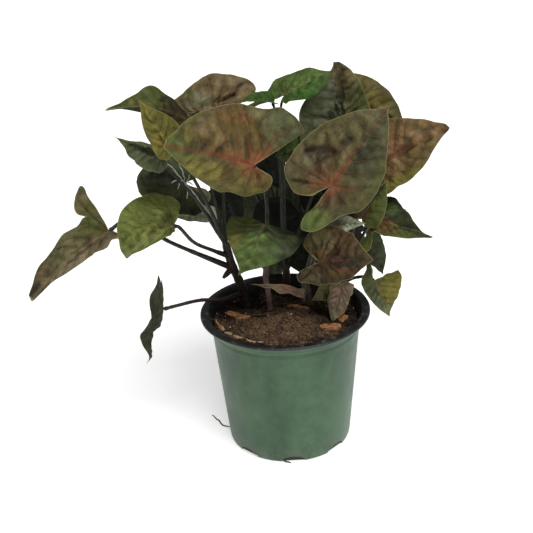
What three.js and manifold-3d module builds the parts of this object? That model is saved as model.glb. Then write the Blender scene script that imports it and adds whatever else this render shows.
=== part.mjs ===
// Arrowhead plant (Syngonium) in its round green nursery pot.
// Millimetres, +Z up, front towards -Y, origin at the middle of the pot's underside.

import * as THREE from "three";
import { mergeVertices } from "three/addons/utils/BufferGeometryUtils.js";
import Module from "manifold-3d";

const wasm = await Module();
wasm.setup();

// ---- Driving dimensions -------------------------------------------------------------------

const GAP = 0.3;                 // clear space between neighbouring pieces

const POT_HEIGHT = 95;
const RIM_RADIUS = 57;           // outer edge of the rolled lip
const RIM_WIDTH = 5.6;
const BASE_RADIUS = 42;
const COLLAR_RADIUS = 50;        // outside of the wall just under the flared collar
const COLLAR_Z = 86.5;
const WALL = 1.5;
const FLOOR = 3;
const POT_SIDES = 36;

const DRAIN_COUNT = 8;
const DRAIN_FIRST = 2;           // degrees from the front, seen from above
const DRAIN_WIDTH = 16;
const DRAIN_HEIGHT = 5;
const DRAIN_DEPTH = 2.6;

const SOIL_LEVEL = 90.5;         // mean height of the soil's surface
const SOIL_RINGS = [11, 22, 32, 41, 48.2];
const SOIL_SIDES = 36;

const STEM_FOOT_Z = 66;          // how deep the stems stand in the soil
const HOLE_SPARE = 0.9;          // space round a stem in its hole
const HOLE_SIDES = 10;
const STEM_SIDES = 8;
const STEM_STEPS = 5;
const CROWN_INSET = 2;           // how far below the stem's end the stalks leave it
const PETIOLE_SIDES = 5;
const PETIOLE_STEPS = 8;
const PETIOLE_REACH = 9;         // last straight stretch below a blade
const PETIOLE_ARCH = 0.06;       // rise of a stalk above its chord

const BLADE = 0.7;               // thickness of a leaf blade
const RINGS = [0.4, 0.74, 1];    // rings of a large blade
const SMALL_RINGS = [0.5, 1];    // rings of a small or hidden blade

// Half outline of an arrowhead blade, from the tip to the notch: along the midrib in blade
// lengths, and across it in half widths. The backward part is scaled by the lobe length.
const HALF_OUTLINE = [
  [1.0, 0.0], [0.9, 0.12], [0.74, 0.4], [0.53, 0.72], [0.28, 0.94], [0.03, 1.0],
  [-0.45, 0.96], [-0.84, 0.78], [-1.0, 0.5], [-0.82, 0.28], [-0.4, 0.13],
];

const LOBE_FROM = 1.05;          // angle from the midrib where splay starts to turn the outline
const LOBE_TO = 2.75;            // and where it turns it fully, in radians

const COLORS = {
  pot: 0x4d6b55,
  soil: 0x4a3426,
  bark: 0xb5763f,
  stem: 0x3c3226,
  bronze: 0x6b5236,
  olive: 0x6c7038,
  sage: 0x6f7a5c,
  green: 0x557a36,
  teal: 0x2c3a32,
  bright: 0x4f9136,
  dry: 0x9a7b66,
};

// ---- Solids -------------------------------------------------------------------------------

function toSolid(geometry) {
  const bare = geometry.clone();
  bare.deleteAttribute("normal");
  bare.deleteAttribute("uv");
  const merged = mergeVertices(bare, 1e-4);
  const mesh = new wasm.Mesh({
    numProp: 3,
    vertProperties: new Float32Array(merged.attributes.position.array),
    triVerts: new Uint32Array(merged.index.array),
  });
  return new wasm.Manifold(mesh);
}

function toGeometry(solid) {
  const mesh = solid.getMesh();
  const geometry = new THREE.BufferGeometry();
  geometry.setAttribute("position", new THREE.BufferAttribute(mesh.vertProperties, 3));
  geometry.setIndex(new THREE.BufferAttribute(mesh.triVerts, 1));
  geometry.computeVertexNormals();
  return geometry;
}

function makeMesh(name, geometry, color, roughness = 0.6) {
  const material = new THREE.MeshStandardMaterial({
    color: COLORS[color],
    roughness,
    metalness: 0,
    flatShading: true,
  });
  const mesh = new THREE.Mesh(geometry, material);
  mesh.name = name;
  return mesh;
}

function vector(list) {
  return new THREE.Vector3(...list);
}

function closedTube(path, radius, sides, steps) {
  const section = new THREE.Shape();
  for (let i = 0; i < sides; i += 1) {
    const turn = (i / sides) * Math.PI * 2;
    const x = Math.cos(turn) * radius;
    const y = Math.sin(turn) * radius;
    if (i === 0) section.moveTo(x, y);
    else section.lineTo(x, y);
  }
  section.closePath();
  return new THREE.ExtrudeGeometry(section, { steps, bevelEnabled: false, extrudePath: path });
}

// ---- Pot ----------------------------------------------------------------------------------

function wallRadius(z) {
  const share = z / COLLAR_Z;
  return BASE_RADIUS + (COLLAR_RADIUS - BASE_RADIUS) * share;
}

function makePot() {
  const rimInner = RIM_RADIUS - RIM_WIDTH;
  const profile = [
    [0, 0],
    [BASE_RADIUS - 1.4, 0],
    [BASE_RADIUS, 1.4],
    [COLLAR_RADIUS, COLLAR_Z],
    [COLLAR_RADIUS + 0.7, COLLAR_Z + 0.5],
    [rimInner + 1.1, POT_HEIGHT - 2.6],
    [RIM_RADIUS - 0.7, POT_HEIGHT - 2.3],
    [RIM_RADIUS, POT_HEIGHT - 1.6],
    [RIM_RADIUS, POT_HEIGHT - 0.6],
    [RIM_RADIUS - 0.7, POT_HEIGHT],
    [rimInner, POT_HEIGHT],
    [rimInner - 0.6, POT_HEIGHT - 0.8],
    [COLLAR_RADIUS - WALL + 0.3, COLLAR_Z],
    [wallRadius(FLOOR) - WALL, FLOOR],
    [0, FLOOR],
  ].map(([r, z]) => new THREE.Vector2(r, z));
  const lathe = new THREE.LatheGeometry(profile, POT_SIDES);
  lathe.rotateX(Math.PI / 2);
  let solid = toSolid(lathe);
  for (let i = 0; i < DRAIN_COUNT; i += 1) {
    const notch = new THREE.BoxGeometry(DRAIN_WIDTH, 2 * DRAIN_DEPTH, 2 * DRAIN_HEIGHT);
    notch.translate(0, -BASE_RADIUS, 0);
    notch.rotateZ(THREE.MathUtils.degToRad(DRAIN_FIRST + (i * 360) / DRAIN_COUNT));
    solid = solid.subtract(toSolid(notch));
  }
  return makeMesh("pot", toGeometry(solid), "pot", 0.55);
}

// ---- Soil ---------------------------------------------------------------------------------

function soilHeight(x, y) {
  const mound = 4.5 * Math.exp(-((x - 6) ** 2 + (y + 8) ** 2) / 420);
  const hollow = -5 * Math.exp(-((x - 34) ** 2 + (y - 12) ** 2) / 330);
  const leftHollow = -4 * Math.exp(-((x + 34) ** 2 + (y - 14) ** 2) / 260);
  const lumps = 0.5 * Math.sin(0.31 * x + 1.3) * Math.sin(0.37 * y + 0.4);
  return SOIL_LEVEL + mound + hollow + leftHollow + lumps - 0.05 * y;
}

function makeSoilBody() {
  const bottomZ = FLOOR + GAP;
  const bottomRadius = wallRadius(bottomZ) - WALL - 2 * GAP;
  const positions = [];
  const index = [];
  const addRing = (radius, height) => {
    for (let i = 0; i < SOIL_SIDES; i += 1) {
      const turn = (i / SOIL_SIDES) * Math.PI * 2;
      const x = radius * Math.cos(turn);
      const y = radius * Math.sin(turn);
      positions.push(x, y, height(x, y));
    }
  };
  positions.push(0, 0, soilHeight(0, 0));
  SOIL_RINGS.forEach((radius) => addRing(radius, soilHeight));
  addRing(bottomRadius, () => bottomZ);
  positions.push(0, 0, bottomZ);
  const rings = SOIL_RINGS.length + 1;
  const last = 1 + rings * SOIL_SIDES;
  for (let i = 0; i < SOIL_SIDES; i += 1) {
    const next = (i + 1) % SOIL_SIDES;
    index.push(0, 1 + i, 1 + next);
    for (let ring = 0; ring < rings - 1; ring += 1) {
      const a = 1 + ring * SOIL_SIDES;
      const b = a + SOIL_SIDES;
      index.push(a + i, b + i, b + next, a + i, b + next, a + next);
    }
    const lowest = last - SOIL_SIDES;
    index.push(last, lowest + next, lowest + i);
  }
  const geometry = new THREE.BufferGeometry();
  geometry.setAttribute("position", new THREE.Float32BufferAttribute(positions, 3));
  geometry.setIndex(index);
  return toSolid(geometry);
}

// Bark chips lie half sunk in the soil, each in a pocket of its own.
const CHIP_RISE = 0.6;           // a chip's middle above the soil's surface

const CHIPS = [
  { name: "bark_chip_left", at: [-35, 7], size: [13, 4.6, 2.6], turn: -28, tilt: 6 },
  { name: "bark_chip_front", at: [-28, -3], size: [10, 3.6, 2.4], turn: 12, tilt: -5 },
  { name: "bark_chip_right", at: [29, -27], size: [14, 5.4, 3], turn: 14, tilt: 7 },
  { name: "bark_chip_rim", at: [38, -13], size: [8, 4.4, 2.6], turn: 58, tilt: -8 },
  { name: "bark_chip_centre", at: [9, 3], size: [15, 3.2, 2.6], turn: -14, tilt: 4 },
];

function chipGeometry(chip, grow) {
  const [length, width, height] = chip.size;
  const box = new THREE.BoxGeometry(length + grow, width + grow, height + grow);
  box.rotateY(THREE.MathUtils.degToRad(chip.tilt));
  box.rotateZ(THREE.MathUtils.degToRad(chip.turn));
  const [x, y] = chip.at;
  box.translate(x, y, soilHeight(x, y) + CHIP_RISE);
  return box;
}

function makeChip(chip) {
  return makeMesh(chip.name, chipGeometry(chip, 0), "bark", 0.85);
}

// ---- Leaves -------------------------------------------------------------------------------

// Each leaf is a row of the table below. Pairs are [left, right] halves of the blade, seen from
// above with the tip ahead, and lengths without a unit are in blade lengths.
//   shoot    what it grows from
//   join     where the stalk meets the blade, and tip, the blade's point
//   face     the way the upper side looks
//   wide     half width, and full, which makes the front part rounder below 1 and slimmer above
//   back     length of the basal lobe, lobe its width and splay its turn outward, in degrees
//   fold     lift of the half above the blade's plane, in degrees
//   curl     bend of both halves towards their edges, in degrees per blade length
//   bow      arch of the midrib [ahead of the join, behind it]
//   wave     height of the edge's waves, and waves, how many a radian
//   rings    rings of the surface, as parts of the outline
//   stalk    radius of the stalk, and start, where it leaves the shoot if not at the crown
//   via      points the stalk passes through
//   arrive   way the stalk comes in [along the midrib, up through the blade]
//   seat     how far the stalk ends below the blade, beyond GAP, in stalk radii
const LEAF_DEFAULTS = {
  wide: [0.46, 0.46],
  full: [1, 1],
  back: [0.45, 0.45],
  lobe: [1, 1],
  splay: [0, 0],
  fold: [12, 12],
  curl: 20,
  bow: [0.06, 0.06],
  wave: 0.02,
  waves: 5,
  rings: RINGS,
  stalk: 1.2,
  arrive: [0.5, 0.85],
  seat: 0.8,
};

const LEAVES = [
  {
    name: "leaf_front_left", color: "bronze", shoot: "b",
    join: [-15, -30, 206], tip: [-65, -46, 225], face: [0, -0.9, 0.5],
    wide: [0.42, 0.62], full: [0.75, 0.5], back: [0.28, 0.68], lobe: [1, 1.16],
    splay: [0, 10], fold: [-40, 4], curl: 12, stalk: 1.3, via: [[-9, 25, 160], [-12, 0, 190]],
  },
  {
    name: "leaf_front_right", color: "olive", shoot: "c",
    join: [31, -28, 190], tip: [67, -16, 234], face: [-0.1, -0.92, 0.35],
    wide: [0.53, 0.46], full: [0.75, 0.9], back: [0.3, 0.52], lobe: [1, 0.75], splay: [4, -18],
    fold: [3, -12], curl: 8, via: [[27, 14, 156]],
  },
  {
    name: "leaf_right_back", color: "bronze", shoot: "d",
    join: [59, 8, 188], tip: [105, 0, 214], face: [0.1, -0.9, 0.42],
    wide: [0.47, 0.37], full: [0.5, 0.8],
  },
  {
    name: "leaf_right_inner", color: "olive", shoot: "d",
    join: [51, -8, 161], tip: [68, -5, 184], face: [0.2, -0.85, 0.4], wide: [0.42, 0.42],
    back: [0.15, 0.3], rings: SMALL_RINGS,
  },
  {
    name: "leaf_right_low", color: "olive", shoot: "d",
    join: [61, -2, 156], tip: [94, -14, 149], face: [0.1, -0.7, 0.7],
    wide: [0.58, 0.26], full: [2.1, 0.5], back: [0.4, 0.55], lobe: [1, 2.2], splay: [0, 55],
    fold: [-6, 0], curl: 10,
  },
  {
    name: "leaf_top_right", color: "bronze", shoot: "d",
    join: [51, 28, 228], tip: [84, 20, 209], face: [0.2, -0.85, 0.45], wide: [0.44, 0.44],
  },
  {
    name: "leaf_top_centre", color: "sage", shoot: "e",
    join: [42, 14, 218], tip: [37, 24, 253], face: [-0.05, -0.95, 0.2],
    wide: [0.7, 0.56], full: [1.4, 0.6], back: [0.5, 0.45], lobe: [1.05, 1],
    fold: [20, 30], curl: 6,
  },
  {
    name: "leaf_young_top", color: "bright", shoot: "e",
    join: [6, 4, 239.5], tip: [34, 9, 252], face: [0, -0.7, 0.7], wide: [0.22, 0.28],
    full: [0.6, 0.8], back: [0.34, 0.2], splay: [12, 0], fold: [0, -40],
    stalk: 0.9,
  },
  {
    name: "leaf_young_left", color: "bright", shoot: "e",
    join: [-2, 0, 236], tip: [-22, -9, 240], face: [0, -0.4, 0.9], wide: [0.34, 0.34],
    back: [0.08, 0.08], fold: [30, 30], stalk: 0.9, rings: SMALL_RINGS,
  },
  {
    name: "leaf_left_back", color: "bronze", shoot: "a",
    join: [-39, 20, 224], tip: [-76, 16, 234], face: [0, -0.92, 0.3],
    wide: [0.4, 0.69], full: [1, 2], back: [0.4, 0.75], splay: [0, 18], fold: [-20, 6],
    curl: 10,
  },
  {
    name: "leaf_left_peak", color: "olive", shoot: "a",
    join: [-55, -2, 228], tip: [-97, -18, 241], face: [0, -0.5, 0.85],
    wide: [0.14, 0.4], back: [0.02, 0.12], fold: [-45, 12], bow: [0.12, 0.12], stalk: 1,
    arrive: [0.8, 0.8], seat: 1,
  },
  {
    name: "leaf_left_upright", color: "olive", shoot: "a",
    join: [-66, -26, 218], tip: [-81, -22, 247], face: [-0.2, -0.95, 0.15],
    wide: [0.33, 0.46], back: [0.2, 0.4], fold: [4, 4],
  },
  {
    name: "leaf_left_curled", color: "teal", shoot: "a",
    join: [-72, -16, 211.5], tip: [-95, -30, 227], face: [0, -0.8, 0.6],
    wide: [0.54, 0.14], back: [0.2, 0.3], fold: [-10, 42], bow: [-0.06, -0.06],
  },
  {
    name: "leaf_left_olive", color: "olive", shoot: "a",
    join: [-67, -24, 167], tip: [-94, -50, 158.5], face: [-0.2, -0.85, 0.45],
    wide: [0.14, 0.64], full: [0.5, 0.26], back: [0.02, 0.5], splay: [0, 4], fold: [-66, 0],
    curl: 25, via: [[-46, 2, 142.5], [-56, -9, 151.5]], stalk: 1.4,
    arrive: [0.8, 0.8], seat: 1.4,
  },
  {
    name: "leaf_far_left", color: "bronze", shoot: "a",
    join: [-108, -20, 164], tip: [-158, -30, 126], face: [-0.2, -0.75, 0.6],
    wide: [0.26, 0.21], full: [1, 0.34], back: [0.02, 0.6], lobe: [1, 1.05], splay: [0, 75],
    fold: [-92, 0], bow: [0.09, 0.06], curl: 5, stalk: 1.5, start: [-36, 17, 119],
    via: [[-70, -4, 146.5]], arrive: [1, 0.3],
  },
  {
    name: "leaf_low_left", color: "teal", shoot: "a",
    join: [-81, -4, 100], tip: [-94, -10, 64], face: [-0.93, -0.2, 0.3],
    wide: [0.42, 0.42], back: [0.6, 0.5], fold: [44, 5], curl: 20, bow: [0.04, -0.07],
    wave: 0.06, waves: 9, stalk: 1.4, start: [-27, 22, 97],
    via: [[-42, 11, 98], [-57, 6, 100.5]], seat: 0.4,
  },
  {
    name: "leaf_left_shade", color: "sage", shoot: "a",
    join: [-62, 17, 181], tip: [-91, 5, 187], face: [-0.2, -0.7, 0.7],
    wide: [0.7, 0.6], full: [0.5, 1], fold: [-8, 30], rings: SMALL_RINGS,
  },
  {
    name: "leaf_inner_left", color: "teal", shoot: "e",
    join: [-42, 42, 149], tip: [-24, 38, 178], face: [0, -0.9, 0.4], back: [0.2, 0.2],
    rings: SMALL_RINGS, via: [[-22, 50, 128]],
  },
  {
    name: "leaf_inner_middle", color: "teal", shoot: "e",
    join: [-9, 45, 170], tip: [-3, 38, 204], face: [0, -0.9, 0.4], wide: [0.42, 0.42],
    back: [0.1, 0.1], rings: SMALL_RINGS, via: [[0, 50, 140]], seat: 0.4,
  },
  {
    name: "leaf_inner_back", color: "teal", shoot: "e",
    join: [30, 47, 156], tip: [17, 42, 190], face: [0, -0.9, 0.4], back: [0.1, 0.1],
    rings: SMALL_RINGS, via: [[20, 54, 130]], seat: 0.4,
  },
  {
    name: "leaf_inner_right", color: "teal", shoot: "f",
    join: [44, 38, 128], tip: [27, 32, 160], face: [0, -0.9, 0.4], wide: [0.45, 0.4],
    back: [0.1, 0.1], rings: SMALL_RINGS, via: [[33, 50, 110]],
  },
  {
    name: "leaf_centre_green", color: "green", shoot: "b",
    join: [-11, 2, 155], tip: [-28, -38, 138], face: [0.1, -0.5, 0.85],
    wide: [0.66, 0.54], full: [1.1, 1.1], back: [0.14, 0.4], splay: [0, 12], fold: [-6, -6],
    curl: 5,
  },
  {
    name: "leaf_centre_dark", color: "teal", shoot: "e",
    join: [14, 47, 144], tip: [8, 38, 112], face: [0, -0.8, 0.6], wide: [0.42, 0.42],
    back: [0.1, 0.1], rings: SMALL_RINGS, via: [[8, 56, 128]],
  },
  {
    name: "leaf_centre_bronze", color: "bronze", shoot: "c",
    join: [23, -30, 141], tip: [54, -46, 148], face: [0.1, -0.8, 0.6],
    wide: [0.66, 0.42], full: [0.6, 1], back: [0.55, 0.45], splay: [14, 0], fold: [5, -30],
  },
  {
    name: "leaf_dry", color: "dry", shoot: "d",
    join: [38, -8, 115], tip: [31, -18, 93.5], face: [0, -0.9, 0.4],
    wide: [0.28, 0.3], full: [0.35, 0.35], back: [0.1, 0.1], fold: [20, 20], rings: SMALL_RINGS,
    via: [[45, 4, 114]],
  },
  {
    name: "leaf_dry_green", color: "sage", shoot: "c",
    join: [34, 2, 106], tip: [18, -6, 103], face: [0, -0.8, 0.6], wide: [0.4, 0.46],
    back: [0.1, 0.1], rings: SMALL_RINGS,
  },
  {
    name: "leaf_right_folded", color: "sage", shoot: "d",
    join: [60, 5, 110], tip: [69.5, -8, 90], face: [0.1, -0.9, 0.4],
    wide: [0.74, 0.34], full: [1.2, 0.6], back: [0.02, 0.7], lobe: [1, 0.5], splay: [0, -22],
    fold: [0, 10],
  },
  {
    name: "leaf_right_dark", color: "green", shoot: "d",
    join: [58, 27, 130], tip: [68, 21, 107], face: [0.3, -0.8, 0.4], wide: [0.38, 0.38],
    rings: SMALL_RINGS,
  },
  {
    name: "leaf_wrinkled", color: "sage", shoot: "c",
    join: [33, -12, 157], tip: [53, -19, 161], face: [0, -0.6, 0.8],
    wide: [0.3, 0.34], wave: 0.08, rings: SMALL_RINGS,
  },
  {
    name: "leaf_young_inner", color: "bright", shoot: "e",
    join: [15, 6, 204], tip: [-3, 0, 201], face: [0, -0.9, 0.4], wide: [0.6, 0.5],
    rings: SMALL_RINGS, via: [[2, 36, 165]],
  },
  {
    name: "bract_dry", color: "dry", shoot: "c",
    join: [12, -6, 107], tip: [-22, -14, 120], face: [0, -0.6, 0.8],
    wide: [0.1, 0.1], back: [0.03, 0.03], fold: [30, 30], rings: SMALL_RINGS,
  },
  {
    name: "leaf_left_sage", color: "sage", shoot: "a",
    join: [-50, 30, 160], tip: [-72, 18, 156], face: [0, -0.8, 0.6], wide: [0.5, 0.5],
    back: [0.25, 0.25], rings: SMALL_RINGS,
  },
  {
    name: "leaf_back_left", color: "bronze", shoot: "e",
    join: [-34, 56, 200], tip: [-68, 82, 184], face: [-0.3, 0.55, 0.75], via: [[-12, 53, 145]],
  },
  {
    name: "leaf_back_top", color: "olive", shoot: "e",
    join: [10, 60, 200], tip: [12, 102, 180], face: [0, 0.45, 0.9], via: [[8, 54, 150]],
  },
  {
    name: "leaf_back_right", color: "bronze", shoot: "f",
    join: [56, 46, 194], tip: [90, 74, 176], face: [0.3, 0.5, 0.8],
  },
  {
    name: "leaf_back_middle", color: "green", shoot: "e",
    join: [-2, 66, 164], tip: [-6, 69, 88], face: [0, 0.95, 0.1], wide: [0.46, 0.36],
    full: [0.5, 0.5], back: [0.2, 0.12], fold: [4, 4], via: [[-2, 56, 132]],
  },
  {
    name: "leaf_back_low", color: "olive", shoot: "f",
    join: [48, 69, 146], tip: [66, 100, 124], face: [0.2, 0.6, 0.75],
  },
  {
    name: "leaf_back_side", color: "green", shoot: "a",
    join: [-53, 61, 152], tip: [-77, 83, 138], face: [-0.3, 0.4, 0.85], back: [0.25, 0.25],
  },
  {
    name: "leaf_back_far", color: "sage", shoot: "f",
    join: [70, 52, 144], tip: [96, 72, 128], face: [0.4, 0.4, 0.8], via: [[46, 54, 118]],
  },
].map((leaf) => ({ ...LEAF_DEFAULTS, ...leaf }));

function bladeAxes(leaf) {
  const join = vector(leaf.join);
  const along = vector(leaf.tip).sub(join);
  const length = along.length();
  along.divideScalar(length);
  const face = vector(leaf.face);
  const up = face.addScaledVector(along, -face.dot(along)).normalize();
  const across = along.clone().cross(up);
  return { join, along, up, across, length };
}

// Goes from 0 to 1 without a corner at either end.
function smooth(value) {
  const x = Math.min(Math.max(value, 0), 1);
  return x * x * (3 - 2 * x);
}

// Flat place of a half-outline point, in blade lengths: ahead of the join and out from the midrib.
function flatPoint(leaf, side, [ahead, out]) {
  const half = side < 0 ? 0 : 1;
  const u = ahead > 0 ? ahead : ahead * leaf.back[half];
  const spread = ahead > 0 ? 1 : 1 + (leaf.lobe[half] - 1) * smooth(-ahead * 2);
  const v = out ** (ahead > 0 ? leaf.full[half] : 1) * leaf.wide[half] * spread;
  const angle = Math.atan2(v, u);
  const radius = Math.hypot(u, v);
  const lobeShare = smooth((angle - LOBE_FROM) / (LOBE_TO - LOBE_FROM));
  const turned = angle - THREE.MathUtils.degToRad(leaf.splay[half]) * lobeShare;
  return { angle: turned, radius };
}

// Place of a blade's middle surface: angle from the midrib, distance in blade lengths, and
// rim, which is 1 on the outline.
function surfacePoint(leaf, axes, side, angle, radius, rim) {
  const half = side < 0 ? 0 : 1;
  const u = radius * Math.cos(angle);
  const v = radius * Math.sin(angle);
  const fold = THREE.MathUtils.degToRad(leaf.fold[half]);
  const bend = Math.max(THREE.MathUtils.degToRad(leaf.curl), 1e-3);
  const out = (Math.sin(fold) - Math.sin(fold - bend * v)) / bend;
  const [bowAhead, bowBehind] = leaf.bow;
  const bow = u > 0 ? 4 * bowAhead * u * (1 - u) : 4 * bowBehind * u;
  const wave = leaf.wave * rim ** 3 * Math.sin(leaf.waves * angle + half) * smooth(angle * 2);
  const lift = (Math.cos(fold - bend * v) - Math.cos(fold)) / bend;
  return axes.join.clone()
    .addScaledVector(axes.along, u * axes.length)
    .addScaledVector(axes.across, side * out * axes.length)
    .addScaledVector(axes.up, (lift + wave + bow) * axes.length);
}

// Rays fan out from the join: notch to tip along the left half, then tip to notch on the right.
function bladeRays(leaf) {
  const half = (side) => HALF_OUTLINE.map((point) => ({ side, ...flatPoint(leaf, side, point) }));
  return [...half(-1).reverse(), ...half(1).slice(1)];
}

function makeLeaf(leaf) {
  const axes = bladeAxes(leaf);
  const rays = bladeRays(leaf);
  const middle = [axes.join.clone()];
  for (const rim of leaf.rings) {
    for (const { side, angle, radius } of rays) {
      middle.push(surfacePoint(leaf, axes, side, angle, radius * rim, rim));
    }
  }
  const count = rays.length;
  const at = (ring, ray) => 1 + ring * count + ray;
  const faces = [];
  for (let ray = 0; ray < count - 1; ray += 1) {
    faces.push([0, at(0, ray), at(0, ray + 1)]);
    for (let ring = 0; ring < leaf.rings.length - 1; ring += 1) {
      const corners = [at(ring, ray), at(ring + 1, ray), at(ring + 1, ray + 1), at(ring, ray + 1)];
      faces.push([corners[0], corners[1], corners[2]], [corners[0], corners[2], corners[3]]);
    }
  }
  const last = leaf.rings.length - 1;
  const edge = [0];
  for (let ring = 0; ring < last; ring += 1) edge.push(at(ring, 0));
  for (let ray = 0; ray < count; ray += 1) edge.push(at(last, ray));
  for (let ring = last - 1; ring >= 0; ring -= 1) edge.push(at(ring, count - 1));
  return makeMesh(leaf.name, thicken(middle, faces, edge), leaf.color, 0.5);
}

// Gives a surface its thickness: the same triangles on both faces, and a band round the edge.
function thicken(middle, faces, edge) {
  const normals = middle.map(() => new THREE.Vector3());
  for (const [a, b, c] of faces) {
    const ab = middle[b].clone().sub(middle[a]);
    const ac = middle[c].clone().sub(middle[a]);
    const normal = ac.cross(ab);
    for (const corner of [a, b, c]) normals[corner].add(normal);
  }
  const positions = [];
  for (const side of [1, -1]) {
    middle.forEach((point, i) => {
      const offset = normals[i].clone().normalize().multiplyScalar((side * BLADE) / 2);
      positions.push(...point.clone().add(offset).toArray());
    });
  }
  const under = middle.length;
  const index = [];
  for (const [a, b, c] of faces) {
    index.push(a, c, b, a + under, b + under, c + under);
  }
  edge.forEach((from, i) => {
    const to = edge[(i + 1) % edge.length];
    index.push(from, to, to + under, from, to + under, from + under);
  });
  const geometry = new THREE.BufferGeometry();
  geometry.setAttribute("position", new THREE.Float32BufferAttribute(positions, 3));
  geometry.setIndex(index);
  geometry.computeVertexNormals();
  return geometry;
}

// ---- Shoots -------------------------------------------------------------------------------

// Each shoot is a stem that stands in the soil, with the stalks of its leaves grown out of it.
// The stalks leave at its crown, unless a leaf names its own start.
const SHOOTS = {
  a: {
    radius: 3.2,
    path: [[-27, 22, STEM_FOOT_Z], [-27, 22, 94], [-35, 17, 123], [-38, 14, 140]],
    buds: [{ radius: 2.1, path: [[-33, 18, 118], [-42, 13, 116]] }],
  },
  b: { radius: 2.2, path: [[-10, 5, STEM_FOOT_Z], [-10, 5, 96], [-12, 5, 118]] },
  c: { radius: 3.2, path: [[16, 18, STEM_FOOT_Z], [16, 18, 94], [14, 17, 108]] },
  d: { radius: 2.8, path: [[38, 20, STEM_FOOT_Z], [38, 20, 94], [41, 19, 106]] },
  e: { radius: 2.8, path: [[2, 33, STEM_FOOT_Z], [2, 33, 94], [2, 34, 110]] },
  f: { radius: 2.6, path: [[21, 35, STEM_FOOT_Z], [21, 35, 94], [22, 38, 106]] },
};

function smoothPath(points) {
  return new THREE.CatmullRomCurve3(points, false, "centripetal");
}

function stalkCurve(leaf, shoot) {
  const { join, along, up } = bladeAxes(leaf);
  const [ahead, upward] = leaf.arrive;
  const arrive = up.clone().multiplyScalar(upward).addScaledVector(along, ahead).normalize();
  const end = join.addScaledVector(up, -(BLADE / 2 + GAP + leaf.seat * leaf.stalk));
  end.addScaledVector(along, -0.5 * leaf.seat * leaf.stalk * (ahead / upward));
  const below = end.clone().addScaledVector(arrive, -PETIOLE_REACH);
  const crown = vector(shoot.path.at(-1));
  crown.z -= CROWN_INSET;
  const start = leaf.start ? vector(leaf.start) : crown;
  const points = (leaf.via ?? []).map(vector);
  if (points.length === 0) {
    const middle = start.clone().lerp(below, 0.5);
    middle.z += PETIOLE_ARCH * start.distanceTo(below);
    points.push(middle);
  }
  return smoothPath([start, ...points, below, end]);
}

function makeShoot(key) {
  const shoot = SHOOTS[key];
  const stem = closedTube(smoothPath(shoot.path.map(vector)), shoot.radius, STEM_SIDES, STEM_STEPS);
  let solid = toSolid(stem);
  for (const bud of shoot.buds ?? []) {
    const path = smoothPath(bud.path.map(vector));
    solid = solid.add(toSolid(closedTube(path, bud.radius, STEM_SIDES, 1)));
  }
  for (const leaf of LEAVES.filter((item) => item.shoot === key)) {
    const stalk = closedTube(stalkCurve(leaf, shoot), leaf.stalk, PETIOLE_SIDES, PETIOLE_STEPS);
    solid = solid.add(toSolid(stalk));
  }
  return makeMesh(`shoot_${key}`, toGeometry(solid), "stem", 0.6);
}

function makeSoil() {
  let solid = makeSoilBody();
  for (const chip of CHIPS) {
    solid = solid.subtract(toSolid(chipGeometry(chip, 2 * GAP)));
  }
  const holeFoot = STEM_FOOT_Z - GAP;
  const holeDepth = POT_HEIGHT + 10 - holeFoot;
  for (const shoot of Object.values(SHOOTS)) {
    const [x, y] = shoot.path[0];
    const radius = shoot.radius + HOLE_SPARE;
    const hole = new THREE.CylinderGeometry(radius, radius, holeDepth, HOLE_SIDES);
    hole.rotateX(Math.PI / 2);
    hole.translate(x, y, holeFoot + holeDepth / 2);
    solid = solid.subtract(toSolid(hole));
  }
  return makeMesh("soil", toGeometry(solid), "soil", 0.95);
}

// ---- The plant ----------------------------------------------------------------------------

const plant = new THREE.Group();
plant.name = "arrowhead_plant";
plant.add(makePot(), makeSoil());
for (const chip of CHIPS) plant.add(makeChip(chip));
for (const key of Object.keys(SHOOTS)) plant.add(makeShoot(key));
for (const leaf of LEAVES) plant.add(makeLeaf(leaf));

export default plant;
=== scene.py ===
import math

import bmesh
import bpy
import numpy as np
from bpy.props import FloatProperty, FloatVectorProperty, IntProperty, PointerProperty
from mathutils import Matrix, Vector


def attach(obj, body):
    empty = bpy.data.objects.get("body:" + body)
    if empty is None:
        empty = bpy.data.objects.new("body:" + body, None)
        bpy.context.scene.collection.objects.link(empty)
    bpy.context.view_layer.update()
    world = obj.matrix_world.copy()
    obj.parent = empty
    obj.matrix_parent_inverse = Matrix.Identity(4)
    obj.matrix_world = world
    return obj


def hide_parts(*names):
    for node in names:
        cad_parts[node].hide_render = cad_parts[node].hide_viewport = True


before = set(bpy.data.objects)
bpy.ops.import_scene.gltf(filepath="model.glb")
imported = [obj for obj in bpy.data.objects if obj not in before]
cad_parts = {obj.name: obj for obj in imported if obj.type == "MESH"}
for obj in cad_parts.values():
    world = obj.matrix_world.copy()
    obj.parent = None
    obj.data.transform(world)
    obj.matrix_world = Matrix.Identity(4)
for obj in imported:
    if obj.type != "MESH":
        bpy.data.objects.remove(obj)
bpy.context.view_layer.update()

bl_info = {
    "name": "Potted arrowhead plant",
    "version": (1, 0, 0),
    "blender": (4, 5, 0),
    "location": "View3D > Sidebar > Plant",
    "description": "Dresses the plant, its pot and its soil around the packed solids",
    "category": "Object",
}

MM = 0.001
BODY = "root"

# ---- Colours, as 0 to 255 -------------------------------------------------------------------

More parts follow.
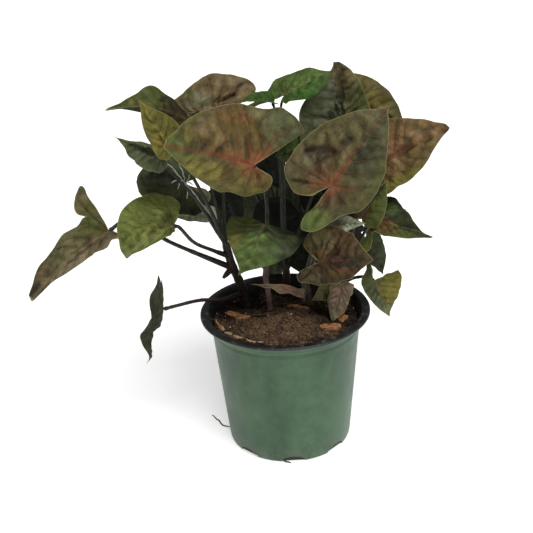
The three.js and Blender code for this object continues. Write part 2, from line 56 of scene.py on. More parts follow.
BRONZE = (100, 80, 48)
BROWN = (82, 62, 40)
CLAY = (88, 72, 36)
UMBER = (44, 35, 24)
ROSEWOOD = (108, 68, 50)
RUST = (110, 68, 38)
OLIVE = (94, 88, 46)
GOLD = (116, 108, 46)
MOSS = (78, 86, 38)
FRESH = (60, 94, 34)
TAN = (122, 106, 76)
FAWN = (128, 101, 68)
SAGE = (82, 90, 62)
PALE = (116, 120, 88)
KHAKI = (98, 92, 62)
HEATH = (84, 78, 48)
SLATE = (64, 66, 54)
STONE = (88, 90, 70)
# This near-black brown is painted shadow in the bands and dents of leaf_front_right; it is also the dark
# tip of leaf_right_back and a dark patch on leaf_centre_bronze.
SHADOW_BROWN = (32, 27, 20)
LEAF = (86, 108, 50)
GRASS = (110, 118, 56)
BRIGHT = (68, 100, 38)
FOREST = (48, 60, 32)
SHADE = (44, 48, 32)
DEEP = (34, 42, 32)
# This near-black is painted shade: it tints the leaves deep in the shaded foliage and marks the shaded
# folds and valleys of others.
SHADOW_BLACK = (17, 20, 17)
DRY = (132, 112, 94)
ROSY = (150, 112, 100)

VEIN_RED = (164, 88, 62)
VEIN_DARK = (112, 52, 36)
VEIN_PALE = (140, 134, 92)
# This pale is painted light: far paler than the leaves' own grey-green, it brightens leaf_wrinkled and
# leaf_left_sage, which sit in shade.
LIT_PALE = (208, 214, 180)
DUSK = (66, 66, 41)
RIM_PALE = (160, 152, 104)
UNDERSIDE = (98, 104, 78)

POT_GREEN = (70, 98, 72)
POT_DEEP = (56, 82, 60)
POT_BLACK = (26, 27, 27)
POT_DUST = (104, 100, 92)
SOIL_BROWN = (106, 83, 62)
SOIL_BLACK = (34, 27, 22)
PERLITE = (206, 200, 188)
FIBRE = (142, 108, 76)
FIBRE_PALE = (196, 168, 128)
FIBRE_GREY = (208, 212, 202)
ROOT = (84, 54, 46)
BARK = (196, 140, 92)
BARK_DARK = (96, 52, 28)
STALK_LOW = (48, 36, 32)
STALK_PURPLE = (112, 90, 88)
STALK_ROUGH = (92, 76, 64)
STALK_HIGH = (44, 48, 36)
STALK_GREY = (120, 118, 112)
FLOOR_WHITE = (250, 250, 250)

# ---- Sizes in millimetres ---------------------------------------------------------------------

COLLAR_Z = 86.5
COLLAR_RADIUS = 50
RIM_WIDTH = 5.6
WALL = 1.5
FLOOR = 3
FOOT_RADIUS = 42
FIRST_NOTCH = 2
SOIL_RADIUS = 48.2
SOIL_BOTTOM = 3.3
SOIL_LEVEL = 90.5

# The mix's mound and its two hollows, as (height, x, y, spread).
SWELLS = ((4.5, 6, -8, 420), (-5, 34, 12, 330), (-4, -34, 14, 260))

STEM_FOOT = 66
CROWN_INSET = 2
BLADE = 0.7
GAP = 0.3
STALK_REACH = 9
SUNK = 0.2              # how far below a blade's middle its stalk ends
STALK_ARCH = 0.06

HALF_OUTLINE = [
    (1, 0), (0.9, 0.12), (0.74, 0.4), (0.53, 0.72), (0.28, 0.94), (0.03, 1),
    (-0.45, 0.96), (-0.84, 0.78), (-1, 0.5), (-0.82, 0.28), (-0.4, 0.13),
]
BEFORE_TIP = (1.07, -0.02)
PAST_NOTCH = (0.1, 0.09)
LOBE_FROM = 1.05
LOBE_TO = 2.75
INNER_FROM = 2.5

# The vein pattern is laid on a plain leaf, half this wide and with lobes this long.
PLAIN_WIDTH = 0.46
PLAIN_LOBE = 0.45
VEIN_SLANT = 0.5
VEIN_CURVE = 0.6
FAN_FIRST = math.radians(63)
FAN_STEP = math.radians(37)

CHIPS = {
    "bark_chip_left": dict(at=(-35, 7), size=(13, 4.6, 2.6), turn=-28, tilt=6),
    "bark_chip_front": dict(at=(-28, -3), size=(10, 3.6, 2.4), turn=12, tilt=-5),
    "bark_chip_right": dict(at=(29, -27), size=(14, 5.4, 3), turn=14, tilt=7),
    "bark_chip_rim": dict(at=(38, -13), size=(8, 4.4, 2.6), turn=58, tilt=-8),
    "bark_chip_centre": dict(at=(9, 3), size=(15, 3.2, 2.6), turn=-14, tilt=4),
}
CHIP_RISE = 0.6

SHOOTS = {
    "a": dict(radius=3.2, path=((-27, 22, STEM_FOOT), (-27, 22, 94), (-35, 17, 123), (-38, 14, 140)),
              bud=((-34, 17, 119), (-41, 13, 113))),
    "b": dict(radius=2.2, path=((-10, 5, STEM_FOOT), (-10, 5, 96), (-12, 5, 118))),
    "c": dict(radius=3.2, path=((16, 18, STEM_FOOT), (16, 18, 94), (14, 17, 108))),
    "d": dict(radius=2.8, path=((38, 20, STEM_FOOT), (38, 20, 94), (41, 19, 106))),
    "e": dict(radius=2.8, path=((2, 33, STEM_FOOT), (2, 33, 94), (2, 34, 110))),
    "f": dict(radius=2.6, path=((21, 35, STEM_FOOT), (21, 35, 94), (22, 38, 106))),
}
BUD_RADIUS = 2.3

# Loose roots, as (radius, points): one on the mix, one beside the pot, one in the front notch.
ROOTS = (
    (0.8, ((-27, -1, 92.2), (-19, -4.5, 93), (-12, -6.5, 94.2), (-6, -5.5, 95.2))),
    (0.5, ((-56, 20, 0.5), (-51, 12, 0.5), (-47, 5, 0.5), (-42.6, 2.6, 1.6))),
    (0.5, ((-7, -40.6, 2.6), (-4.5, -41.6, 1.4), (-2, -42.4, 0.6), (0, -43.2, 0.5))),
)

# Pale dry strands on the blade of leaf_left_shade, as (radius, points).
STRANDS = (
    (0.5, ((-62, 17, 181), (-66, 12, 189), (-70, 9, 196), (-76, 9, 198))),
    (0.45, ((-62, 17, 181), (-62, 13, 188), (-64, 11, 196))),
    (0.4, ((-61, 17, 181), (-58, 13, 187), (-58, 12, 193))),
    # This strand, laid down along the stalk, is a pale strand put where the stalk shows a highlight: a
    # painted highlight.
    (0.5, ((-62, 17, 181), (-57, 13, 176), (-52, 13, 168), (-48, 12.5, 161))),
    (0.45, ((-62, 17, 181), (-60, 12, 176), (-61, 11, 171))),
    (0.45, ((-61, 17, 181), (-67, 13, 184), (-71, 12, 182))),
    (0.4, ((-62, 17, 182), (-64, 12, 184), (-66, 10, 179))),
    (0.45, ((-61, 17, 181), (-59, 12, 183), (-56, 11, 181))),
)

# A leaf's pairs are its [left, right] halves, seen from above with the tip ahead. Lengths with
# no unit are in blade lengths, and turns are in degrees.
LEAF_DEFAULTS = dict(
    wide=(0.46, 0.46), full=(1, 1), back=(0.45, 0.45), lobe=(1, 1), splay=(0, 0), fold=(12, 12),
    curl=20, bow=(0.06, 0.06), wave=0.02, waves=5, stalk=1.2, arrive=(0.5, 0.85), seat=0.8,
    start=None, via=(), fine=True, ragged=0.014, drip=0.02, waist=(0, 0), notch=(0, 0),
    heel=(0, 0), flush=1, marks=(), dents=())

PERLITE_BITS = 34       # in a square decimetre
FLOOR_REACH = 3000
SENSOR_WIDTH = 36
BACKDROP = 1.05
CAMERA_PLACE = (0, -0.6018, 0.3945)
CAMERA_TURN = (-1.046, 24.034, -2.9)
LIGHT_FROM = (0.3, -0.55, 1)

FRONT_LEAVES = {
    "leaf_front_left": dict(
        shoot="b", family="bronze", join=(-15, -30, 206), tip=(-65, -46, 225),
        face=(0, -0.9, 0.5), wide=(0.42, 0.62), full=(0.75, 0.5), back=(0.28, 0.68),
        lobe=(0.9, 1.16), splay=(-8, 9), notch=(0, 27), fold=(-40, 4), curl=12,
        via=((-9, 25, 160), (-12, 0, 190)), stalk=1.3, tints=(OLIVE, CLAY, RUST, LEAF),
        pucker=1.0,
        # The two TAN marks are painted highlights on pleats, and the SAGE mark on the right lobe is partly
        # its grey-green and partly painted sheen; the thin UMBER marks over the hollow dents are painted
        # shade in them.
        marks=(
            (CLAY, (0.42, 0.42), (0.12, 0.12), 0, 0.7),
            (BROWN, (0.2, 0.24), (0.17, 0.1), 0, 0.5),
            (TAN, (0.62, 0.28), (0.11, 0.09), -20, 0.5),
            (TAN, (0.45, 0.17), (0.05, 0.07), 0, 0.5),
            (RUST, (0.32, 0.47), (0.16, 0.07), -10, 0.6),
            (SAGE, (-0.36, 0.5), (0.3, 0.22), 0, 0.8),
            (GOLD, (0.6, -0.2), (0.3, 0.09), 0, 0.8),
            (BROWN, (0.26, -0.16), (0.07, 0.14), 0, 0.6),
            (UMBER, (0.6, 0.06), (0.02, 0.07), 30, 0.8),
            (UMBER, (0.43, 0.07), (0.02, 0.08), 25, 0.7),
            (UMBER, (0.3, 0.17), (0.025, 0.12), -15, 0.6),
            (PALE, (0.02, 0.55), (0.18, 0.06), 0, 0.4),
            (UMBER, (0.12, 0.16), (0.14, 0.03), 70, 0.6),
            (UMBER, (-0.08, 0.28), (0.14, 0.03), 110, 0.5),
        ),
        dents=(
            (-1.0, (0.6, 0.06), (0.025, 0.08), 30),
            (-1.0, (0.43, 0.07), (0.025, 0.09), 25),
            (0.9, (0.51, 0.08), (0.03, 0.08), 28),
            (-1.1, (0.12, 0.16), (0.15, 0.03), 70),
            (-1.1, (-0.08, 0.28), (0.14, 0.03), 110),
            (0.9, (0.02, 0.25), (0.13, 0.04), 90),
            (-0.8, (0.26, -0.16), (0.05, 0.13), 0),
        )),
    "leaf_front_right": dict(
        shoot="c", family="bronze", join=(31, -28, 190), tip=(67, -16, 234),
        face=(-0.1, -0.92, 0.35), wide=(0.53, 0.46), full=(0.75, 0.9), back=(0.3, 0.52),
        lobe=(1, 0.75), splay=(4, -18), waist=(0, 0.2), fold=(3, -12), curl=8,
        via=((27, 14, 156),), flush=0.6, tints=(HEATH, DUSK, RUST, KHAKI), pucker=1.1,
        # The near-black brown bands and the DEEP and UMBER marks over the hollow dents are painted shadow;
        # the TAN and PALE marks on the raised dents are painted highlights.
        marks=(
            (BROWN, (0.15, -0.22), (0.2, 0.13), 0, 0.5),
            (BROWN, (-0.05, 0.12), (0.16, 0.1), 0, 0.4),
            (SHADOW_BROWN, (0.22, -0.28), (0.17, 0.075), 56, 1),
            (SHADOW_BROWN, (0.185, -0.09), (0.09, 0.04), 56, 0.6),
            (SHADOW_BROWN, (0.47, -0.14), (0.06, 0.04), 20, 0.75),
            (TAN, (0.36, -0.08), (0.05, 0.04), 0, 0.7),
            (UMBER, (0.05, -0.2), (0.035, 0.03), 0, 0.7),
            (PALE, (0.11, -0.34), (0.07, 0.05), 0, 0.55),
            (DEEP, (0.46, 0.09), (0.11, 0.06), 10, 0.6),
            (DEEP, (0.26, 0.09), (0.07, 0.05), 0, 0.6),
            (UMBER, (0.11, 0.11), (0.07, 0.035), 30, 0.65),
            (MOSS, (0.42, 0.36), (0.3, 0.07), 0, 0.5),
            (LEAF, (-0.42, 0.08), (0.14, 0.14), 0, 0.7),
            (DEEP, (0.75, 0.08), (0.08, 0.05), 0, 0.5),
        ),
        dents=(
            (-1.9, (0.22, -0.28), (0.14, 0.05), 56),
            (1.2, (0.1, -0.26), (0.1, 0.06), 56),
            (-1.4, (0.46, -0.14), (0.06, 0.05), 20),
            (1.0, (0.36, -0.07), (0.05, 0.04), 0),
            (0.9, (0.11, -0.34), (0.07, 0.05), 0),
            (-1.2, (0.05, -0.2), (0.04, 0.03), 0),
            (-1.0, (0.46, 0.09), (0.1, 0.05), 10),
            (-0.9, (0.26, 0.09), (0.07, 0.05), 0),
            (0.8, (0.36, 0.13), (0.06, 0.05), 0),
        )),
    "leaf_right_back": dict(
        shoot="d", family="bronze", join=(59, 8, 188), tip=(105, 0, 214),
        face=(0.1, -0.9, 0.42), wide=(0.47, 0.37), full=(0.5, 0.8), flush=0.4,
        tints=(FAWN, OLIVE, ROSEWOOD, FAWN), pucker=0.7, ragged=0.03, drip=0.045,
        # The small UMBER mark over the hollow dent is painted shade in it.
        marks=(
            (GOLD, (0.35, 0.3), (0.3, 0.09), 0, 0.6),
            (FAWN, (0.5, -0.1), (0.35, 0.1), 0, 0.5),
            (SHADOW_BROWN, (1.02, 0), (0.05, 0.05), 0, 0.9),
            (ROSEWOOD, (0.25, -0.16), (0.22, 0.13), 0, 0.45),
            (FAWN, (0.4, 0.1), (0.32, 0.1), 0, 0.7),
            (UMBER, (0.45, 0.16), (0.07, 0.04), 0, 0.4),
            (BROWN, (0.85, 0.0), (0.2, 0.15), 0, 0.3),
        ),
        dents=(
            (-1.1, (0.45, 0.12), (0.09, 0.06), 0),
            (0.9, (0.3, 0.14), (0.08, 0.05), 0),
            (-1.0, (0.25, -0.16), (0.2, 0.05), 0),
            (1, (0.62, -0.08), (0.09, 0.06), 20),
        )),
    "leaf_right_inner": dict(
        shoot="d", family="olive", join=(51, -8, 161), tip=(68, -5, 184),
        face=(0.2, -0.85, 0.4), wide=(0.42, 0.42), back=(0.15, 0.1), flush=0.5,
        tints=(UMBER, MOSS, BROWN, MOSS), pucker=0.5, fine=False),
    "leaf_right_low": dict(
        shoot="d", family="olive", join=(61, -2, 156), tip=(94, -14, 149),
        face=(0.1, -0.7, 0.7), wide=(0.58, 0.26), full=(2.1, 0.5), back=(0.4, 0.55),
        lobe=(1, 2.2), splay=(0, 55), fold=(-6, 0), curl=10, flush=0.5,
        tints=(SHADE, MOSS, RUST, SHADE), pucker=0.5, ragged=0.02, drip=0.06,
        marks=(
            (RUST, (0.15, 0.1), (0.25, 0.12), 0, 0.6),
            (SHADOW_BLACK, (0.75, 0), (0.3, 0.1), 0, 0.6),
            (LEAF, (0.1, -0.3), (0.2, 0.12), 0, 0.5),
        )),
    "leaf_top_right": dict(
        shoot="d", family="bronze", join=(51, 28, 228), tip=(84, 20, 209),
        face=(0.2, -0.85, 0.45), wide=(0.44, 0.44), flush=0.5,
        tints=(OLIVE, BRONZE, BRONZE, OLIVE), pucker=0.6,
        marks=(
            (GOLD, (0.3, -0.1), (0.3, 0.15), 0, 0.5),
            (BROWN, (0.6, -0.35), (0.3, 0.08), 0, 0.6),
        )),
    "leaf_top_centre": dict(
        shoot="e", family="sage", join=(42, 14, 218), tip=(37, 24, 253),
        face=(-0.05, -0.95, 0.2), wide=(0.8, 0.52), full=(1.2, 0.33), back=(0.5, 0.45),
        lobe=(1.05, 1), fold=(20, 30), curl=6, flush=0.4, tints=(STONE, KHAKI, SAGE, TAN),
        pucker=1.0,
        # The near-black marks along the middle are painted shade in the leaf's folded valley.
        marks=(
            (SLATE, (0.6, 0), (0.25, 0.2), 0, 0.3),
            (SHADOW_BLACK, (0.24, -0.07), (0.12, 0.045), -8, 0.95),
            (SHADOW_BLACK, (0.1, -0.16), (0.16, 0.06), -30, 0.9),
            (SHADOW_BLACK, (0.2, 0.03), (0.12, 0.025), 5, 0.8),
            (UMBER, (0.6, -0.2), (0.12, 0.04), -20, 0.3),
            (TAN, (0.75, 0.1), (0.22, 0.14), 0, 0.6),
            (LEAF, (0.3, 0.42), (0.2, 0.1), 0, 0.4),
        ),
        dents=(
            (-1.2, (0.26, -0.05), (0.16, 0.045), -5),
            (0.8, (0.45, 0.08), (0.2, 0.06), 0),
            (-1.2, (0.1, -0.12), (0.16, 0.05), -30),
        )),
    "leaf_young_top": dict(
        shoot="e", family="young", join=(6, 4, 239.5), tip=(34, 9, 252), face=(0, -0.7, 0.7),
        wide=(0.46, 0.4), full=(1.1, 0.5), back=(1.15, 0.12), lobe=(0.4, 1), splay=(12, 0),
        heel=(0, 0.55), fold=(-6, 2), stalk=0.9, tints=(LEAF, FRESH, FOREST, LEAF), pucker=0.3),
    "leaf_young_left": dict(
        shoot="e", family="young", join=(-2, 0, 236), tip=(-22, -9, 240), face=(0, -0.4, 0.9),
        wide=(0.34, 0.34), back=(0.08, 0.08), fold=(30, 30), stalk=0.9,
        tints=(LEAF, FRESH, FOREST, LEAF), pucker=0.3, fine=False),
}

LEFT_LEAVES = {
    "leaf_left_back": dict(
        shoot="a", family="bronze", join=(-39, 20, 224), tip=(-76, 16, 234),
        face=(0, -0.92, 0.3), wide=(0.4, 0.69), full=(1, 2), back=(0.4, 0.75), splay=(0, 18),
        fold=(-20, 6), curl=10, flush=0.5, tints=(PALE, TAN, BROWN, SAGE), pucker=0.9,
        # The two UMBER lines over the hollow dents are painted shade in the leaf's folds.
        marks=(
            (BROWN, (0.25, -0.2), (0.4, 0.16), 0, 0.6),
            (UMBER, (0.3, -0.06), (0.3, 0.015), 8, 0.6),
            (UMBER, (0.25, 0.1), (0.25, 0.015), -20, 0.5),
            (UMBER, (-0.1, 0.3), (0.2, 0.03), 150, 0.6),
            (UMBER, (-0.25, 0.45), (0.22, 0.03), 130, 0.6),
            (PALE, (0.35, 0.2), (0.25, 0.12), 0, 0.6),
            (ROSY, (-0.15, 0.4), (0.24, 0.02), 140, 0.4),
            (LEAF, (0.6, 0.3), (0.1, 0.06), 0, 0.7),
        ),
        dents=(
            (-1.3, (-0.1, 0.3), (0.2, 0.04), 150),
            (-1.3, (-0.25, 0.45), (0.22, 0.04), 130),
            (1.1, (-0.18, 0.38), (0.22, 0.04), 140),
        )),
    "leaf_left_peak": dict(
        shoot="a", family="olive", join=(-55, -2, 228), tip=(-97, -18, 241),
        face=(0, -0.5, 0.85), wide=(0.14, 0.46), full=(1, 0.8), back=(0.02, 0.04),
        heel=(0, 0.8), fold=(-45, 12), bow=(0.12, 0.12), arrive=(0.8, 0.8), seat=1, stalk=1,
        tints=(SHADE, MOSS, SHADE, FOREST), pucker=0.5, ragged=0.03, drip=0.1,
        marks=(
            (UMBER, (0.12, 0.12), (0.25, 0.16), 0, 0.85),
            (GOLD, (0.75, 0.1), (0.25, 0.06), 0, 0.25),
        )),
    "leaf_left_upright": dict(
        shoot="a", family="olive", join=(-66, -26, 218), tip=(-81, -22, 247),
        face=(-0.2, -0.95, 0.15), wide=(0.25, 0.46), back=(0.2, 0.4), fold=(4, 4), flush=0.5,
        tints=(GOLD, GOLD, OLIVE, GOLD), pucker=0.5,
        marks=(
            (GOLD, (0.3, -0.05), (0.35, 0.1), 0, 0.6),
            (MOSS, (0.5, 0.3), (0.3, 0.12), 0, 0.5),
        )),
    "leaf_left_curled": dict(
        shoot="a", family="sage", join=(-72, -16, 211.5), tip=(-95, -30, 227),
        face=(0, -0.8, 0.6), wide=(0.38, 0.14), back=(0.2, 0.3), fold=(-10, 42),
        bow=(-0.06, -0.06), flush=0.5, tints=(SAGE, PALE, SAGE, LEAF), pucker=0.6, ragged=0.04,
        drip=0.1,
        # The near-black mark along the middle is painted shade in the leaf's curl.
        marks=(
            (SHADOW_BLACK, (0.3, -0.02), (0.4, 0.06), 0, 0.8),
        )),
    "leaf_left_olive": dict(
        shoot="a", family="olive", join=(-67, -24, 167), tip=(-94, -50, 158.5),
        face=(-0.2, -0.85, 0.45), wide=(0.14, 0.8), full=(0.5, 0.42), back=(0.02, 0.5),
        splay=(0, 4), fold=(-66, 0), curl=25, start=(-36, 17, 127),
        via=((-46, 4, 137.5), (-57, -9, 149.5)), arrive=(0.8, 0.8), seat=1.4, stalk=1.4,
        flush=0.3, tints=(GRASS, GRASS, MOSS, MOSS), pucker=0.35,
        marks=(
            (SHADE, (0.05, 0.15), (0.16, 0.1), 0, 0.4),
        )),
    "leaf_far_left": dict(
        shoot="a", family="olive", join=(-108, -20, 164), tip=(-158, -30, 126),
        face=(-0.2, -0.75, 0.6), wide=(0.26, 0.27), full=(1, 0.4), back=(0.02, 0.6),
        lobe=(1, 1.05), splay=(0, 75), fold=(-92, 0), curl=5, bow=(0.09, 0.06), wave=0.035,
        waves=11, start=(-36, 17, 119), via=((-70, -4, 146.5),), arrive=(1, 0.3), stalk=1.5,
        flush=0.5, tints=(TAN, KHAKI, BROWN, BROWN), pucker=0.8, ragged=0.035, drip=0.06,
        marks=(
            (MOSS, (0.0, 0.2), (0.2, 0.15), 0, 0.7),
            (UMBER, (0.35, -0.02), (0.25, 0.02), 5, 0.6),
            (UMBER, (0.97, 0.0), (0.1, 0.1), 0, 0.9),
        )),
    "leaf_low_left": dict(
        # The near-black and DEEP tints are painted shade on a leaf hanging under the foliage.
        shoot="a", family="dark", join=(-81, -4, 100), tip=(-94, -10, 64),
        face=(-0.93, -0.2, 0.3), wide=(0.42, 0.42), back=(0.62, 0.45), fold=(44, 5), curl=20,
        bow=(0.04, -0.07), wave=0.03, waves=4, start=(-27, 22, 97),
        via=((-42, 11, 98), (-57, 6, 100.5)), seat=0.4, stalk=1.4,
        tints=(SHADOW_BLACK, DEEP, SHADOW_BLACK, DEEP), pucker=0.8, ragged=0.0, drip=0.05),
    "leaf_left_shade": dict(
        # The near-black tints and the large near-black mark over its middle are painted shade.
        shoot="a", family="sage", join=(-62, 17, 181), tip=(-91, 5, 187),
        face=(-0.2, -0.7, 0.7), wide=(0.7, 0.6), full=(0.3, 0.4), fold=(-8, 30), flush=0.4,
        tints=(SHADOW_BLACK, SAGE, SHADOW_BLACK, SAGE), pucker=0.5, fine=False,
        marks=(
            (SHADOW_BLACK, (0.45, 0.02), (0.45, 0.16), 0, 0.95),
        )),
    "leaf_left_sage": dict(
        # The very pale tints are painted light on a leaf that sits in shade.
        shoot="a", family="sage", join=(-50, 30, 160), tip=(-72, 18, 156), face=(0, -0.8, 0.6),
        wide=(0.5, 0.5), back=(0.25, 0.25), tints=(LIT_PALE, PALE, PALE, LIT_PALE), pucker=0.4,
        fine=False),
}

CENTRE_LEAVES = {
    # The four inner leaves are tinted near-black and DEEP: painted shade deep inside the foliage.
    "leaf_inner_left": dict(
        shoot="e", family="dark", join=(-42, 42, 149), tip=(-24, 38, 178), face=(0, -0.9, 0.4),
        back=(0.2, 0.2), via=((-22, 50, 128),), tints=(SHADOW_BLACK, SHADOW_BLACK, SHADOW_BLACK, DEEP), pucker=0.4,
        fine=False),
    "leaf_inner_middle": dict(
        shoot="e", family="dark", join=(-9, 45, 170), tip=(-3, 38, 204), face=(0, -0.9, 0.4),
        wide=(0.42, 0.42), back=(0.1, 0.1), via=((0, 50, 140),), seat=0.4,
        tints=(SHADOW_BLACK, SHADOW_BLACK, SHADOW_BLACK, DEEP), pucker=0.4, fine=False),
    "leaf_inner_back": dict(
        shoot="e", family="dark", join=(30, 47, 156), tip=(17, 42, 190), face=(0, -0.9, 0.4),
        back=(0.1, 0.1), via=((20, 54, 130),), seat=0.4, tints=(SHADOW_BLACK, SHADOW_BLACK, SHADOW_BLACK, DEEP),
        pucker=0.4, fine=False),
    "leaf_inner_right": dict(
        shoot="f", family="dark", join=(44, 38, 128), tip=(27, 32, 160), face=(0, -0.9, 0.4),
        wide=(0.45, 0.4), back=(0.1, 0.1), via=((33, 50, 110),),
        tints=(SHADOW_BLACK, SHADOW_BLACK, SHADOW_BLACK, DEEP), pucker=0.4, fine=False),
    "leaf_centre_green": dict(
        # Its DEEP left half is painted shade.
        shoot="b", family="green", join=(-11, 2, 155), tip=(-28, -38, 138),
        face=(0.1, -0.5, 0.85), wide=(0.58, 0.5), full=(0.9, 1.3), back=(0.14, 0.14),
        splay=(0, 12), fold=(-6, -6), curl=5, tints=(DEEP, MOSS, SHADE, LEAF), pucker=0.5,
        marks=(
            (MOSS, (-0.15, 0.35), (0.2, 0.2), 0, 0.6),
            (LEAF, (0.62, -0.12), (0.4, 0.26), 0, 0.85),
            (SAGE, (0.2, -0.35), (0.2, 0.2), 0, 0.6),
            (GOLD, (0.5, 0.3), (0.2, 0.1), 0, 0.35),
        )),
    "leaf_centre_dark": dict(
        # The near-black tints are painted shade on a leaf deep in the foliage.
        shoot="e", family="dark", join=(14, 47, 144), tip=(15, 38, 100), face=(0, -0.8, 0.6),
        wide=(0.7, 0.75), back=(0.15, 0.3), via=((8, 56, 128),),
        tints=(SHADOW_BLACK, SHADOW_BLACK, SHADOW_BLACK, DEEP), pucker=0.4, fine=False),
    "leaf_centre_bronze": dict(
        shoot="c", family="bronze", join=(23, -30, 141), tip=(54, -46, 148),
        face=(0.1, -0.8, 0.6), wide=(0.66, 0.42), full=(0.75, 0.7), back=(0.5, 0.55),
        splay=(14, 0), fold=(5, -30), flush=0.2, tints=(BROWN, UMBER, BROWN, BROWN),
        pucker=1.0, ragged=0.035,
        # The UMBER mark over the hollow dent at (-0.1, -0.05) is painted shade in it.
        marks=(
            (KHAKI, (-0.05, -0.4), (0.35, 0.2), 10, 0.8),
            (KHAKI, (-0.25, 0.3), (0.2, 0.2), 0, 0.5),
            (SHADOW_BROWN, (0.5, -0.1), (0.3, 0.2), 0, 0.75),
            (UMBER, (0.3, 0.12), (0.3, 0.14), 0, 0.7),
            (UMBER, (-0.1, -0.05), (0.2, 0.05), 0, 0.8),
            (RUST, (0.45, 0.22), (0.25, 0.08), 0, 0.4),
            (BROWN, (0.6, -0.2), (0.2, 0.12), 0, 0.6),
        ),
        dents=(
            (-1.5, (0.25, -0.2), (0.16, 0.08), 30),
            (1.2, (0.3, -0.05), (0.18, 0.06), 30),
            (-1.3, (-0.1, -0.05), (0.2, 0.05), 60),
            (1.2, (-0.2, 0.1), (0.16, 0.05), 40),
        )),
    "leaf_dry": dict(
        shoot="d", family="dry", join=(38, -8, 115), tip=(31, -18, 93.5), face=(0, -0.9, 0.4),
        wide=(0.34, 0.3), full=(0.5, 0.5), back=(0.1, 0.1), fold=(26, -14), wave=0.05, waves=7,
        via=((45, 4, 114),), tints=(DRY, DRY, DRY, PALE), pucker=0.9, ragged=0.08, fine=False),
    "leaf_dry_green": dict(
        shoot="c", family="sage", join=(34, 2, 106), tip=(18, -6, 103), face=(0, -0.8, 0.6),
        wide=(0.4, 0.46), back=(0.1, 0.1), tints=(KHAKI, TAN, SAGE, PALE), pucker=0.5,
        fine=False),
    "leaf_right_folded": dict(
        shoot="d", family="sage", join=(60, 5, 110), tip=(69.5, -8, 90), face=(0.1, -0.9, 0.4),
        wide=(0.74, 0.34), full=(1.2, 0.6), back=(0.02, 0.7), lobe=(1, 0.5), splay=(0, -22),
        fold=(0, 10), tints=(GOLD, SAGE, SAGE, PALE), pucker=0.5),
    "leaf_right_dark": dict(
        shoot="d", family="green", join=(58, 27, 130), tip=(68, 21, 107),
        face=(0.3, -0.8, 0.4), wide=(0.38, 0.38), tints=(SAGE, SLATE, SHADE, SAGE), pucker=0.3,
        ragged=0.04, fine=False),
    "leaf_wrinkled": dict(
        # The very pale tints are painted light on a leaf that sits in shade.
        shoot="c", family="sage", join=(33, -12, 157), tip=(53, -19, 161), face=(0, -0.6, 0.8),
        wide=(0.3, 0.34), wave=0.08, flush=0.3, tints=(LIT_PALE, LIT_PALE, LIT_PALE, LIT_PALE), pucker=0.9,
        ragged=0.05, fine=False),
    "leaf_young_inner": dict(
        shoot="e", family="young", join=(15, 6, 204), tip=(-3, 0, 201), face=(0, -0.9, 0.4),
        wide=(0.6, 0.5), via=((2, 36, 165),), tints=(FOREST, LEAF, FOREST, LEAF), pucker=0.3,
        fine=False),
    "bract_dry": dict(
        shoot="c", family="dry", join=(12, -6, 107), tip=(-22, -14, 120), face=(0, -0.6, 0.8),
        wide=(0.1, 0.1), back=(0.03, 0.03), fold=(30, 30), tints=(DRY, ROSY, DRY, PALE),
        pucker=0.3, fine=False),
}

BACK_LEAVES = {
    "leaf_back_left": dict(
        shoot="e", family="bronze", join=(-34, 56, 200), tip=(-68, 82, 184),
        face=(-0.3, 0.55, 0.75), via=((-12, 53, 145),),
        tints=(BRONZE, OLIVE, ROSEWOOD, BRONZE), pucker=0.7),
    "leaf_back_top": dict(
        shoot="e", family="olive", join=(10, 60, 200), tip=(12, 102, 180), face=(0, 0.45, 0.9),
        via=((8, 54, 150),), tints=(OLIVE, MOSS, ROSEWOOD, MOSS), pucker=0.7),
    "leaf_back_right": dict(
        shoot="f", family="bronze", join=(56, 46, 194), tip=(90, 74, 176),
        face=(0.3, 0.5, 0.8), tints=(BROWN, BRONZE, ROSEWOOD, BRONZE), pucker=0.7),
    "leaf_back_middle": dict(
        # The near-black tints are painted shade behind the shoots.
        shoot="e", family="green", join=(-2, 66, 164), tip=(-6, 69, 88), face=(0, 0.95, 0.1),
        wide=(0.46, 0.36), full=(0.5, 0.5), back=(0.2, 0.12), fold=(4, 4),
        via=((-2, 56, 132),), tints=(SHADOW_BLACK, SHADOW_BLACK, SHADOW_BLACK, DEEP), pucker=0.4),
    "leaf_back_low": dict(
        shoot="f", family="olive", join=(48, 69, 146), tip=(66, 100, 124),
        face=(0.2, 0.6, 0.75), tints=(MOSS, OLIVE, RUST, OLIVE), pucker=0.6),
    "leaf_back_side": dict(
        shoot="a", family="green", join=(-53, 61, 152), tip=(-77, 83, 138),
        face=(-0.3, 0.4, 0.85), back=(0.25, 0.25), tints=(LEAF, FOREST, FOREST, LEAF),
        pucker=0.5),
    "leaf_back_far": dict(
        shoot="f", family="sage", join=(70, 52, 144), tip=(89, 70, 131), face=(0.4, 0.4, 0.8),
        via=((46, 54, 118),), tints=(SAGE, MOSS, SAGE, SAGE), pucker=0.5),
}

LEAVES = {
    name: {**LEAF_DEFAULTS, **row}
    for name, row in {**FRONT_LEAVES, **LEFT_LEAVES, **CENTRE_LEAVES, **BACK_LEAVES}.items()
}


# ---- Shapes by rule ---------------------------------------------------------------------------

def paint(colour):
    """The linear colour of a 0 to 255 one."""
    share = np.asarray(colour, float) / 255
    return np.where(share <= 0.04045, share / 12.92, ((share + 0.055) / 1.055) ** 2.4)


def smooth(value):
    """Goes from 0 to 1 without a corner at either end."""
    x = np.clip(value, 0, 1)
    return x * x * (3 - 2 * x)


